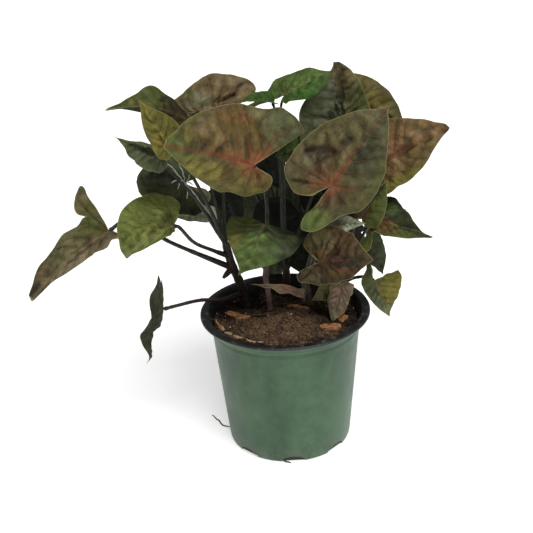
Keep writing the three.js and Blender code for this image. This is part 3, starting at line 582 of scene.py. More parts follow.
def ripple(points, size, seed, octaves=3):
    """Uneven waves between about -1 and 1 over points, the longest of them size long."""
    rng = np.random.default_rng(seed)
    points = np.asarray(points, float)
    total = np.zeros(points.shape[:-1])
    for octave in range(octaves):
        for _ in range(5):
            way = rng.normal(size=points.shape[-1])
            way *= 2 * math.pi * 2 ** octave / size * rng.uniform(0.7, 1.3) / np.linalg.norm(way)
            total += np.sin(points @ way + rng.uniform(0, 2 * math.pi)) * 0.5 ** octave
    return total / 4


def wall_radius(z):
    return FOOT_RADIUS + (COLLAR_RADIUS - FOOT_RADIUS) * z / COLLAR_Z


def soil_height(x, y):
    height = SOIL_LEVEL
    for rise, middle_x, middle_y, spread in SWELLS:
        height = height + rise * np.exp(-((x - middle_x) ** 2 + (y - middle_y) ** 2) / spread)
    return height + 0.5 * np.sin(0.31 * x + 1.3) * np.sin(0.37 * y + 0.4) - 0.05 * y


def dryness(x, y):
    """How dry and brown the mix is: most on the mound and along the front, least by the stems."""
    return 1.15 * np.exp(-((x + 4) ** 2 / 1500 + (y + 22) ** 2
                           / 800)) - 0.5 * np.exp(-((x - 34) ** 2 + (y + 2) ** 2) / 260)


def smooth_path(points, steps):
    """A centripetal curve through points, with steps points for each stretch."""
    line = [np.array(p, float) for p in points]
    line = [2 * line[0] - line[1], *line, 2 * line[-1] - line[-2]]
    share = np.linspace(0, 1, steps, endpoint=False)[:, None]
    out = []
    for p0, p1, p2, p3 in zip(line, line[1:], line[2:], line[3:]):
        d0, d1, d2 = (max(np.linalg.norm(b - a) ** 0.5, 1e-4) for a, b in ((p0, p1), (p1, p2), (p2, p3)))
        t1 = ((p1 - p0) / d0 - (p2 - p0) / (d0 + d1) + (p2 - p1) / d1) * d1
        t2 = ((p2 - p1) / d1 - (p3 - p1) / (d1 + d2) + (p3 - p2) / d2) * d1
        cube = 2 * p1 - 2 * p2 + t1 + t2
        square = -3 * p1 + 3 * p2 - 2 * t1 - t2
        out.append(cube * share ** 3 + square * share ** 2 + t1 * share + p1)
    return np.vstack([*out, line[-2][None]])


def blade_axes(leaf):
    join, tip, face = (np.array(leaf[key], float) for key in ("join", "tip", "face"))
    length = np.linalg.norm(tip - join)
    along = (tip - join) / length
    up = face - along * (face @ along)
    up /= np.linalg.norm(up)
    return join, along, up, np.cross(along, up), length


def stalk_path(leaf, crown):
    """The middle line of a leaf's stalk, from its shoot into the underside of its blade."""
    join, along, up, _, _ = blade_axes(leaf)
    ahead, upward = leaf["arrive"]
    arrive = up * upward + along * ahead
    arrive /= np.linalg.norm(arrive)
    inset = leaf["seat"] * leaf["stalk"]
    end = join - up * (BLADE / 2 + GAP + inset) - along * 0.5 * inset * ahead / upward
    below = end - arrive * STALK_REACH
    start = np.array(leaf["start"] or crown, float)
    middle = [np.array(p, float) for p in leaf["via"]]
    if not middle:
        middle = [(start + below) / 2 + (0, 0, STALK_ARCH * np.linalg.norm(below - start))]
    return smooth_path([start, *middle, below, join - up * SUNK], 12)


def half_rays(leaf, half, count):
    """One half's outline from tip to notch: angle, radius, and its place on the plain leaf."""
    line = [np.array(p, float) for p in (BEFORE_TIP, *HALF_OUTLINE, PAST_NOTCH)]
    share = np.linspace(0, 1, count // (len(line) - 3), endpoint=False)[:, None]
    parts = []
    for p0, p1, p2, p3 in zip(line, line[1:], line[2:], line[3:]):
        parts.append(p1 + 0.5 * share * (p2 - p0 + share * (
            2 * p0 - 5 * p1 + 4 * p2 - p3 + share * (3 * p1 - p0 - 3 * p2 + p3))))
    rim = np.vstack([*parts, line[-2][None]])
    ahead, out = rim[:, 0], np.clip(rim[:, 1], 0, None)
    front = ahead > 0
    u = np.where(front, ahead + leaf["drip"] * smooth(12 * ahead - 11), ahead * leaf["back"][half])
    spread = np.where(front, 1, 1 + (leaf["lobe"][half] - 1) * smooth(-2 * ahead))
    spread = spread * (1 - leaf["waist"][half] * np.exp(-((ahead + 0.25) / 0.3) ** 2))
    spread = spread * (1 - leaf["heel"][half] * smooth((0.6 - ahead) / 0.7))
    v = out ** np.where(front, leaf["full"][half], 1) * leaf["wide"][half] * spread
    angle = np.arctan2(v, u)
    splayed = smooth((angle - LOBE_FROM) / (LOBE_TO - LOBE_FROM))
    inner = smooth((angle - INNER_FROM) / (math.pi - INNER_FROM))
    turned = angle - math.radians(leaf["splay"][half]) * splayed
    turned = turned - math.radians(leaf["notch"][half]) * inner
    plain = np.stack([np.where(front, ahead, ahead * PLAIN_LOBE), out * PLAIN_WIDTH], 1)
    return turned, np.hypot(u, v), plain


def vein_distance(u, v, spacing):
    """Distance to the nearest side vein of the plain leaf, and to its midrib."""
    s = np.abs(v)
    w = u - VEIN_SLANT * s - VEIN_CURVE * s * s
    swing = lambda value, step: np.abs((value / step + 0.5) % 1 - 0.5) * step
    side = swing(w, spacing) / np.hypot(1, VEIN_SLANT + 2 * VEIN_CURVE * s)
    fan = swing(np.arctan2(s, u) - FAN_FIRST, FAN_STEP) * np.hypot(u, s)
    return np.where(w > 0, side, fan), np.where(u > 0, s, np.hypot(u, s))


def blade_grid(leaf, rows, rays):
    """Side, angle, radius, plain place and rim share of each point of a blade, ring by ring."""
    halves = [half_rays(leaf, half, rays) for half in (0, 1)]
    side = np.concatenate([-np.ones(len(halves[0][0])), np.ones(len(halves[1][0]) - 1)])
    angle = np.concatenate([halves[0][0][::-1], halves[1][0][1:]])
    radius = np.concatenate([halves[0][1][::-1], halves[1][1][1:]])
    plain = np.concatenate([halves[0][2][::-1] * (1, -1), halves[1][2][1:]])
    rim = np.linspace(0, 1, rows + 1)[1:, None]
    return side + 0 * rim, angle + 0 * rim, radius * rim, plain[None] * rim[..., None], rim + 0 * angle


def blade_middle(leaf, side, angle, radius, rim):
    """Middle surface of a blade, in millimetres."""
    join, along, up, across, length = blade_axes(leaf)
    half = (side > 0).astype(int)
    u, v = radius * np.cos(angle), radius * np.sin(angle)
    fold = np.radians(np.array(leaf["fold"], float))[half]
    bend = max(math.radians(leaf["curl"]), 1e-3)
    out = (np.sin(fold) - np.sin(fold - bend * v)) / bend
    lift = (np.cos(fold - bend * v) - np.cos(fold)) / bend
    bow = np.where(u > 0, 4 * leaf["bow"][0] * u * (1 - u), 4 * leaf["bow"][1] * u)
    wave = leaf["wave"] * rim ** 3 * np.sin(leaf["waves"] * angle + half) * smooth(2 * angle)
    parts = np.stack([u, side * out, lift + wave + bow], -1) * length
    return join + parts @ np.array([along, across, up])


def grid_normals(points, join):
    """Normals of a ring by ring grid, all on the upper side."""
    rings = np.concatenate([np.broadcast_to(join, (1, *points.shape[1:])), points])
    outward = np.gradient(rings, axis=0)[1:]
    around = np.gradient(points, axis=1)
    normals = np.cross(around, outward)
    normals /= np.maximum(np.linalg.norm(normals, axis=-1, keepdims=True), 1e-12)
    tip = points.shape[1] // 2
    normals[:, tip] = normals[:, tip - 1] + normals[:, tip + 1]
    normals[:, tip] /= np.linalg.norm(normals[:, tip], axis=-1, keepdims=True)
    return normals


def edge_inset(flat, edge):
    """Distance of each flat point to the blade's edge line."""
    points = flat.reshape(-1, 2)
    nearest = np.full(len(points), np.inf)
    for a, b in zip(edge, edge[1:]):
        run = b - a
        share = np.clip((points - a) @ run / max(run @ run, 1e-12), 0, 1)
        nearest = np.minimum(nearest, np.linalg.norm(points - a - share[:, None] * run, axis=1))
    return nearest.reshape(flat.shape[:-1])


def patch_cover(flat, place, size, turn, seed):
    """How far an uneven oval patch covers each flat point, all in blade lengths."""
    turn = math.radians(turn)
    offset = flat - place
    long = (offset @ (math.cos(turn), math.sin(turn))) / size[0]
    short = (offset @ (-math.sin(turn), math.cos(turn))) / size[1]
    away = np.hypot(long, short) + 0.3 * ripple(flat, 0.15, seed, 2)
    return smooth((1.35 - away) / 0.5)


def blade_colours(leaf, side, radius, flat, points, seed):
    """Tint of each point: left and right, the heart by the stalk, the tip, and the row's marks, of which
    some are painted shade and painted highlights.
    """
    left, right, heart, tip = (paint(colour) for colour in leaf["tints"])
    _, along, _, _, length = blade_axes(leaf)
    noise = ripple(points, 0.6 * length, seed)
    cross = smooth(0.5 + 0.5 * side * np.clip(radius * 12, 0, 1) + 0.25 * noise)[..., None]
    colour = left * (1 - cross) + right * cross
    near = 0.75 * smooth(1 - radius / 0.32 + 0.3 * noise)[..., None]
    colour = colour * (1 - near) + heart * near
    ahead = (points - np.array(leaf["join"], float)) @ along / length
    far = 0.7 * smooth((ahead - 0.55) / 0.45 + 0.35 * noise)[..., None]
    colour = colour * (1 - far) + tip * far
    for number, (mark, place, size, turn, share) in enumerate(leaf["marks"]):
        cover = share * patch_cover(flat, place, size, turn, seed + number)[..., None]
        colour = colour * (1 - cover) + paint(mark) * cover
    return colour


# ---- Meshes and trees -------------------------------------------------------------------------

def link(name, data):
    piece = bpy.data.objects.new(name, data)
    bpy.context.scene.collection.objects.link(piece)
    return piece


def mesh_piece(name, points, faces, smooth_faces=True):
    """A new object with a mesh whose points are given in millimetres."""
    mesh = bpy.data.meshes.new(name)
    mesh.from_pydata((np.asarray(points) * MM).tolist(), [], faces)
    mesh.polygons.foreach_set("use_smooth", [smooth_faces] * len(mesh.polygons))
    return link(name, mesh)


def curve_piece(name, lines):
    """A curve object whose lines are (points in millimetres, radii in millimetres)."""
    curve = bpy.data.curves.new(name, "CURVE")
    curve.dimensions = "3D"
    for points, radii in lines:
        spline = curve.splines.new("POLY")
        spline.points.add(len(points) - 1)
        flat = np.column_stack([np.asarray(points) * MM, np.ones(len(points))])
        spline.points.foreach_set("co", flat.ravel())
        spline.points.foreach_set("radius", np.asarray(radii, float) * MM)
    return link(name, curve)


def add_attribute(mesh, name, kind, values):
    layer = mesh.attributes.new(name, kind, "POINT")
    if kind == "FLOAT_COLOR":
        values = np.column_stack([values, np.ones(len(values))])
        layer.data.foreach_set("color", np.ascontiguousarray(values, np.float32).ravel())
    else:
        layer.data.foreach_set("value", np.ascontiguousarray(values, np.float32))


class Wires:
    """Adds nodes to a tree and joins them, one short call for each."""

    def __init__(self, tree):
        self.tree = tree

    def node(self, kind, feeds=None, **settings):
        new = self.tree.nodes.new(kind)
        for key, value in settings.items():
            setattr(new, key, value)
        for key, value in (feeds or {}).items():
            self.feed(new.inputs[key], value)
        return new

    def out(self, kind, feeds=None, **settings):
        """The first output of a new node."""
        return self.node(kind, feeds, **settings).outputs[0]

    def feed(self, socket, value):
        if isinstance(value, bpy.types.NodeSocket):
            self.tree.links.new(value, socket)
        else:
            socket.default_value = value

    def math(self, operation, *values, clamp=False):
        return self.out("ShaderNodeMath", dict(enumerate(values)), operation=operation, use_clamp=clamp)

    def step(self, value, low, high, start=0.0, end=1.0):
        """Goes smoothly from start to end as value goes from low to high."""
        feeds = {"Value": value, "From Min": low, "From Max": high, "To Min": start, "To Max": end}
        return self.out("ShaderNodeMapRange", feeds, interpolation_type="SMOOTHSTEP")

    def blend(self, share, first, second, kind="MIX"):
        """Colour between first and second."""
        mix = self.node("ShaderNodeMix", data_type="RGBA", blend_type=kind)
        for socket, value in zip((mix.inputs[0], mix.inputs[6], mix.inputs[7]), (share, first, second)):
            self.feed(socket, (*value, 1) if isinstance(value, (tuple, list, np.ndarray)) else value)
        return mix.outputs[2]

    def shaded(self, colour, shade):
        """The colour, darker or lighter by a number."""
        grey = self.out("ShaderNodeCombineColor", {0: shade, 1: shade, 2: shade})
        return self.blend(1.0, colour, grey, "MULTIPLY")

    def noise(self, place, scale, detail=4.0, rough=0.55):
        feeds = {"Vector": place, "Scale": scale, "Detail": detail, "Roughness": rough}
        return self.out("ShaderNodeTexNoise", feeds)


def new_finish(name):
    """A material with its tree's wires, its shader, and the piece's own coordinates."""
    finish = bpy.data.materials.new(name)
    finish.use_nodes = True
    wires = Wires(finish.node_tree)
    shader = finish.node_tree.nodes["Principled BSDF"]
    place = wires.node("ShaderNodeTexCoord").outputs["Object"]
    return finish, wires, shader, place


def relief(wires, shader, height, distance, strength=1.0):
    bump = wires.node("ShaderNodeBump", {"Height": height, "Distance": distance * MM, "Strength": strength})
    wires.feed(shader.inputs["Normal"], bump.outputs[0])


def named(wires, name, kind="Color"):
    return wires.node("ShaderNodeAttribute", attribute_name=name).outputs[kind]


def new_tree(name, inputs):
    """A Geometry Nodes tree with named inputs: its wires, its input sockets, its output node."""
    tree = bpy.data.node_groups.new(name, "GeometryNodeTree")
    tree.interface.new_socket("Geometry", in_out="INPUT", socket_type="NodeSocketGeometry")
    for label, kind in inputs.items():
        tree.interface.new_socket(label, in_out="INPUT", socket_type=f"NodeSocket{kind}")
    tree.interface.new_socket("Geometry", in_out="OUTPUT", socket_type="NodeSocketGeometry")
    wires = Wires(tree)
    return wires, wires.node("NodeGroupInput").outputs, wires.node("NodeGroupOutput")


def end_tree(wires, output, geometry, material):
    """Realizes the geometry and gives it its material."""
    whole = wires.out("GeometryNodeRealizeInstances", {"Geometry": geometry})
    painted = wires.out("GeometryNodeSetMaterial", {"Geometry": whole, "Material": material})
    wires.feed(output.inputs[0], painted)


def run_tree(source, tree, values, name):
    """The plain mesh that tree makes of the source object, which goes away."""
    source.data.materials.clear()
    source.data.materials.append(next(value for value in values.values()
                                      if isinstance(value, bpy.types.Material)))
    modifier = source.modifiers.new(tree.name, "NODES")
    modifier.node_group = tree
    for item in tree.interface.items_tree:
        if item.in_out == "INPUT" and item.name in values:
            modifier[item.identifier] = values[item.name]
    bpy.context.view_layer.update()
    seen = source.evaluated_get(bpy.context.evaluated_depsgraph_get())
    graph = bpy.context.evaluated_depsgraph_get()
    mesh = bpy.data.meshes.new_from_object(seen, preserve_all_data_layers=True, depsgraph=graph)
    source.modifiers.clear()
    bpy.data.objects.remove(source)
    mesh.name = name
    if not len(mesh.polygons):
        raise RuntimeError(f"{name}: its tree made no faces")
    return link(name, mesh)


def settle(piece, slot, *nodes):
    """Attaches a finished piece to the plant and hides the solids that it stands for; its slot is not used.
    """
    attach(piece, BODY)
    if nodes:
        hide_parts(*nodes)
    return piece


# ---- Finishes ---------------------------------------------------------------------------------

def vein_masks(wires, spacing):
    """Midrib, side veins and their soft surround, from the blade's own map."""
    place = wires.out("ShaderNodeUVMap", uv_map="blade")
    parts = wires.node("ShaderNodeSeparateXYZ", {0: place}).outputs
    u, s = parts[0], wires.math("ABSOLUTE", parts[1])
    square = wires.math("MULTIPLY", s, s)
    w = wires.math("SUBTRACT", wires.math("MULTIPLY_ADD", s, -VEIN_SLANT, u),
                   wires.math("MULTIPLY", square, VEIN_CURVE))
    slope = wires.math("MULTIPLY_ADD", s, 2 * VEIN_CURVE, VEIN_SLANT)
    steep = wires.math("SQRT", wires.math("MULTIPLY_ADD", slope, slope, 1.0))
    side = wires.math("DIVIDE", wires.math("PINGPONG", w, spacing / 2), steep)
    radius = wires.math("SQRT", wires.math("MULTIPLY_ADD", u, u, square))
    turn = wires.math("SUBTRACT", wires.math("ARCTAN2", s, u), FAN_FIRST)
    fan = wires.math("MULTIPLY", wires.math("PINGPONG", turn, FAN_STEP / 2), radius)
    front = wires.step(w, -0.012, 0.004)
    near = wires.math("ADD", wires.math("MULTIPLY", side, front),
                      wires.math("MULTIPLY", fan, wires.math("SUBTRACT", 1.0, front)))
    thin = wires.math("MAXIMUM", wires.math("MULTIPLY_ADD", s, -0.015, 0.0085), 0.002)
    thick = wires.math("MAXIMUM", wires.math("MULTIPLY_ADD", u, -0.008, 0.009), 0.003)
    side_mask = wires.step(wires.math("DIVIDE", near, thin), 0.3, 1.5, 1.0, 0.0)
    ribs = wires.math("MULTIPLY", wires.step(wires.math("DIVIDE", s, thick), 0.3, 1.3, 1.0, 0.0),
                      wires.step(u, -0.02, 0.0))
    mid_blush = wires.math("MULTIPLY", wires.step(s, 0.0, 0.05, 1.0, 0.0),
                           wires.step(radius, 0.02, 0.6, 0.55, 0.02))
    side_blush = wires.math("MULTIPLY", wires.step(near, 0.0, 0.04, 1.0, 0.0),
                            wires.step(radius, 0.02, 0.27, 0.5, 0.03))
    cells = wires.out("ShaderNodeTexVoronoi", {"Vector": place, "Scale": 30.0, "Randomness": 0.9},
                      feature="DISTANCE_TO_EDGE")
    blush = wires.math("MAXIMUM", mid_blush, side_blush)
    net = wires.step(cells, 0.0, 0.09, 1.0, 0.0)
    return ribs, side_mask, blush, net, radius


def leaf_finish(name, settings, vein, vein_share, midrib, fleck, fleck_share, rim, rough, under=False):
    """Blade of a leaf: tint with mottles, veins, a fine net, a pale rim, painted shade along thin creases,
    and a quilted sheen.
    """
    finish, wires, shader, place = new_finish(name)
    ribs, sides, blush, net, radius = vein_masks(wires, settings.vein_spacing)
    colour = named(wires, "tint")
    if under:
        colour = wires.blend(0.45, colour, paint(UNDERSIDE))
    patches = wires.noise(place, 48.0, 3.0, 0.5)
    mottle = wires.noise(place, 260.0, 5.0, 0.65)
    speckle = wires.noise(place, 1300.0, 2.0, 0.6)
    spread = wires.math("MULTIPLY", wires.step(patches, 0.42, 0.66), fleck_share)
    colour = wires.blend(spread, colour, paint(fleck))
    shade = wires.math("ADD", wires.step(mottle, 0.32, 0.68, 0.78, 1.2),
                       wires.step(speckle, 0.3, 0.7, -0.08, 0.08))
    colour = wires.shaded(colour, shade)
    # Painted shade: thin wandering creases darken the tint, and the same lines dip in the bump.
    fold = wires.math("ABSOLUTE", wires.math("SUBTRACT", wires.noise(place, 42.0, 4.0, 0.55), 0.5))
    crease_shade = wires.step(fold, 0.0, 0.05, 0.76, 1.0)
    colour = wires.shaded(colour, crease_shade)
    warm = wires.blend(wires.step(radius, 0.25, 0.7), paint(vein), paint(VEIN_PALE))
    uneven = wires.step(patches, 0.35, 0.6, 0.35, 1.0)
    flush = wires.math("MULTIPLY", named(wires, "flush", "Fac"), vein_share)
    colour = wires.blend(wires.math("MULTIPLY", blush, flush), colour, warm)
    colour = wires.blend(wires.math("MULTIPLY", net, 0.07), colour, warm)
    lines = wires.math("MULTIPLY", uneven, wires.math("MULTIPLY", flush, 0.26))
    colour = wires.blend(wires.math("MULTIPLY", sides, lines), colour, warm)
    colour = wires.blend(wires.math("MULTIPLY", ribs, wires.math("MULTIPLY_ADD", flush, 0.4, 0.15)),
                         colour, paint(midrib))
    inset = named(wires, "inset", "Fac")
    colour = wires.blend(wires.step(inset, 0.1, 0.5, 0.55, 0.0), colour, paint(rim))
    wires.feed(shader.inputs["Base Color"], colour)
    shader.inputs["Roughness"].default_value = rough + (0.15 if under else 0)
    shader.inputs["Specular IOR Level"].default_value = 0.17
    raised = -1.0 if not under else 1.4
    height = wires.math("MULTIPLY_ADD", net, 0.25 * raised, wires.math("MULTIPLY", mottle, 0.9))
    height = wires.math("MULTIPLY_ADD", wires.math("MAXIMUM", ribs, sides), 0.9 * raised, height)
    height = wires.math("MULTIPLY_ADD", speckle, 0.22, height)
    height = wires.math("MULTIPLY_ADD", crease_shade, 1.2, height)
    relief(wires, shader, height, 0.35)
    return finish


def leaf_finishes(settings):
    """Upper and under finish of each kind of leaf."""
    kinds = {
        "bronze": (VEIN_RED, 0.9, VEIN_DARK, OLIVE, 0.35, RIM_PALE, 0.46),
        "olive": (RUST, 0.6, VEIN_PALE, MOSS, 0.35, RIM_PALE, 0.48),
        "sage": (VEIN_PALE, 0.45, SAGE, MOSS, 0.4, RIM_PALE, 0.52),
        "green": (VEIN_PALE, 0.5, VEIN_PALE, SHADE, 0.4, BRIGHT, 0.48),
        # The dark kind dresses leaves whose near-black tint is painted shade.
        "dark": (SAGE, 0.4, SAGE, SHADOW_BLACK, 0.4, MOSS, 0.55),
        "young": (VEIN_PALE, 0.5, VEIN_PALE, FOREST, 0.3, BRIGHT, 0.4),
        "dry": (ROSY, 0.5, ROSY, TAN, 0.6, RIM_PALE, 0.7),
    }
    slots = {"bronze": "bronze_leaf", "olive": "olive_leaf", "sage": "sage_leaf", "green": "green_leaf",
             "dark": "dark_leaf", "young": "young_leaf", "dry": "dry_leaf"}
    return {
        kind: (leaf_finish(kind + "_blade", settings, *values),
               leaf_finish(kind + "_underside", settings, *values, under=True), slots[kind])
        for kind, values in kinds.items()
    }


def pot_plastic(settings):
    """Moulded green plastic: soft swirls, fine grain, dust and specks of dried soil."""
    finish, wires, shader, place = new_finish("pot_outside")
    stretched = wires.out("ShaderNodeMapping", {"Vector": place, "Scale": (1, 1, 0.55)})
    swirl = wires.noise(stretched, 34.0, 5.0, 0.6)
    cloud = wires.noise(place, 110.0, 6.0, 0.62)
    grain = wires.noise(place, 1500.0, 2.0, 0.5)
    colour = wires.blend(wires.step(swirl, 0.35, 0.65), paint(POT_DEEP), tuple(settings.plastic))
    shade = wires.step(cloud, 0.3, 0.7, 0.86, 1.12)
    colour = wires.shaded(colour, shade)
    specks = wires.out("ShaderNodeTexVoronoi", {"Vector": place, "Scale": 240.0, "Randomness": 1.0})
    rare = wires.step(wires.noise(place, 62.0, 3.0, 0.6), 0.55, 0.68)
    dirt = wires.math("MULTIPLY", wires.step(specks, 0.1, 0.2, 1.0, 0.0), rare)
    colour = wires.blend(wires.math("MULTIPLY", dirt, 0.8), colour, paint(SOIL_BROWN))
    height = wires.node("ShaderNodeSeparateXYZ", {0: place}).outputs[2]
    low = wires.math("MULTIPLY", wires.step(height, 0.002, 0.016, 1.0, 0.0), wires.step(cloud, 0.4, 0.6))
    colour = wires.blend(wires.math("MULTIPLY", low, 0.35), colour, paint(POT_DUST))
    wires.feed(shader.inputs["Base Color"], colour)
    wires.feed(shader.inputs["Roughness"], wires.step(cloud, 0.3, 0.7, 0.36, 0.5))
    shader.inputs["Specular IOR Level"].default_value = 0.3
    bump = wires.math("ADD", wires.math("MULTIPLY", cloud, 0.8),
                      wires.math("MULTIPLY_ADD", grain, 0.25, dirt))
    relief(wires, shader, bump, 0.18)
    return finish


def pot_lining(settings):
    """Black plastic of the lip and the inside, with grey dust and dried splashes."""
    finish, wires, shader, place = new_finish("pot_lining")
    dust = wires.noise(place, 170.0, 6.0, 0.7)
    grain = wires.noise(place, 1100.0, 3.0, 0.6)
    share = wires.math("MULTIPLY", wires.step(dust, 0.5, 0.74), 0.75)
    wires.feed(shader.inputs["Base Color"], wires.blend(share, tuple(settings.lining), paint(POT_DUST)))
    wires.feed(shader.inputs["Roughness"], wires.step(dust, 0.35, 0.7, 0.3, 0.75))
    relief(wires, shader, wires.math("MULTIPLY_ADD", grain, 0.5, dust), 0.2)
    return finish


def soil_finish(name, settings, pale=0.0):
    """Potting mix: dark peat with brown and pale crumbs, drier on the mound."""
    finish, wires, shader, place = new_finish(name)
    coarse = wires.noise(place, 420.0, 6.0, 0.7)
    fine = wires.noise(place, 2100.0, 4.0, 0.65)
    broad = wires.noise(place, 75.0, 3.0, 0.5)
    dry = named(wires, "dry", "Fac")
    dryness = wires.math("ADD", dry, wires.step(broad, 0.35, 0.65, -0.3, 0.3), clamp=True)
    colour = wires.blend(dryness, paint(SOIL_BLACK), tuple(settings.mix_colour))
    shade = wires.math("ADD", wires.step(coarse, 0.36, 0.64, 0.3, 1.4),
                       wires.step(fine, 0.3, 0.7, -0.3, 0.4))
    colour = wires.shaded(colour, shade)
    colour = wires.blend(wires.step(fine, 0.62, 0.7, 0.0, 0.35), colour, paint(FIBRE))
    colour = wires.blend(pale, colour, paint(PERLITE))
    wires.feed(shader.inputs["Base Color"], colour)
    shader.inputs["Roughness"].default_value = 0.95
    shader.inputs["Specular IOR Level"].default_value = 0.2
    relief(wires, shader, wires.math("MULTIPLY_ADD", fine, 0.5, coarse), 0.8)
    return finish


def wood_finish(name, light, dark, scale=90.0):
    """Bark and fibres: long streaks of grain with dark blotches."""
    finish, wires, shader, place = new_finish(name)
    stretched = wires.out("ShaderNodeMapping", {"Vector": place, "Scale": (0.35, 1.6, 1.6)})
    streaks = wires.noise(stretched, scale * 6, 6.0, 0.7)
    blotch = wires.noise(place, scale * 1.6, 3.0, 0.6)
    colour = wires.blend(wires.step(streaks, 0.34, 0.62), paint(dark), paint(light))
    colour = wires.blend(wires.step(blotch, 0.5, 0.75, 0.0, 0.55), colour, paint(dark))
    wires.feed(shader.inputs["Base Color"], colour)
    shader.inputs["Roughness"].default_value = 0.85
    relief(wires, shader, streaks, 0.5)
    return finish


def stalk_finish(name, settings, low):
    """Stalks: brown or purple low down, dark green above, with fine ribs and a grey bloom."""
    finish, wires, shader, place = new_finish(name)
    rise = named(wires, "rise", "Fac")
    stretched = wires.out("ShaderNodeMapping", {"Vector": place, "Scale": (1, 1, 0.12)})
    ribs = wires.noise(stretched, 900.0, 3.0, 0.6)
    blotch = wires.noise(place, 130.0, 5.0, 0.65)
    share = wires.math("ADD", wires.step(rise, 0.1, 0.75),
                       wires.step(blotch, 0.3, 0.7, -0.25, 0.25), clamp=True)
    colour = wires.blend(share, low, tuple(settings.high_colour))
    bloom = wires.math("MULTIPLY", wires.step(blotch, 0.52, 0.72), 0.18)
    colour = wires.blend(bloom, colour, paint(STALK_GREY))
    shade = wires.step(ribs, 0.3, 0.7, 0.75, 1.2)
    colour = wires.shaded(colour, shade)
    wires.feed(shader.inputs["Base Color"], colour)
    shader.inputs["Roughness"].default_value = 0.45
    shader.inputs["Specular IOR Level"].default_value = 0.25
    relief(wires, shader, wires.math("MULTIPLY_ADD", blotch, 0.5, ribs), 0.3)
    return finish


def floor_finish(glow):
    """Plain pale paper, with the faintest tooth."""
    finish, wires, shader, place = new_finish("pale_floor")
    tooth = wires.noise(place, 700.0, 2.0, 0.5)
    base = paint(FLOOR_WHITE)
    wires.feed(shader.inputs["Base Color"], wires.blend(wires.step(tooth, 0.3, 0.7), base * 0.99, base))
    shader.inputs["Emission Color"].default_value = (1, 1, 1, 1)
    shader.inputs["Emission Strength"].default_value = glow
    shader.inputs["Roughness"].default_value = 0.9
    shader.inputs["Specular IOR Level"].default_value = 0.1
    return finish


# ---- Trees ------------------------------------------------------------------------------------

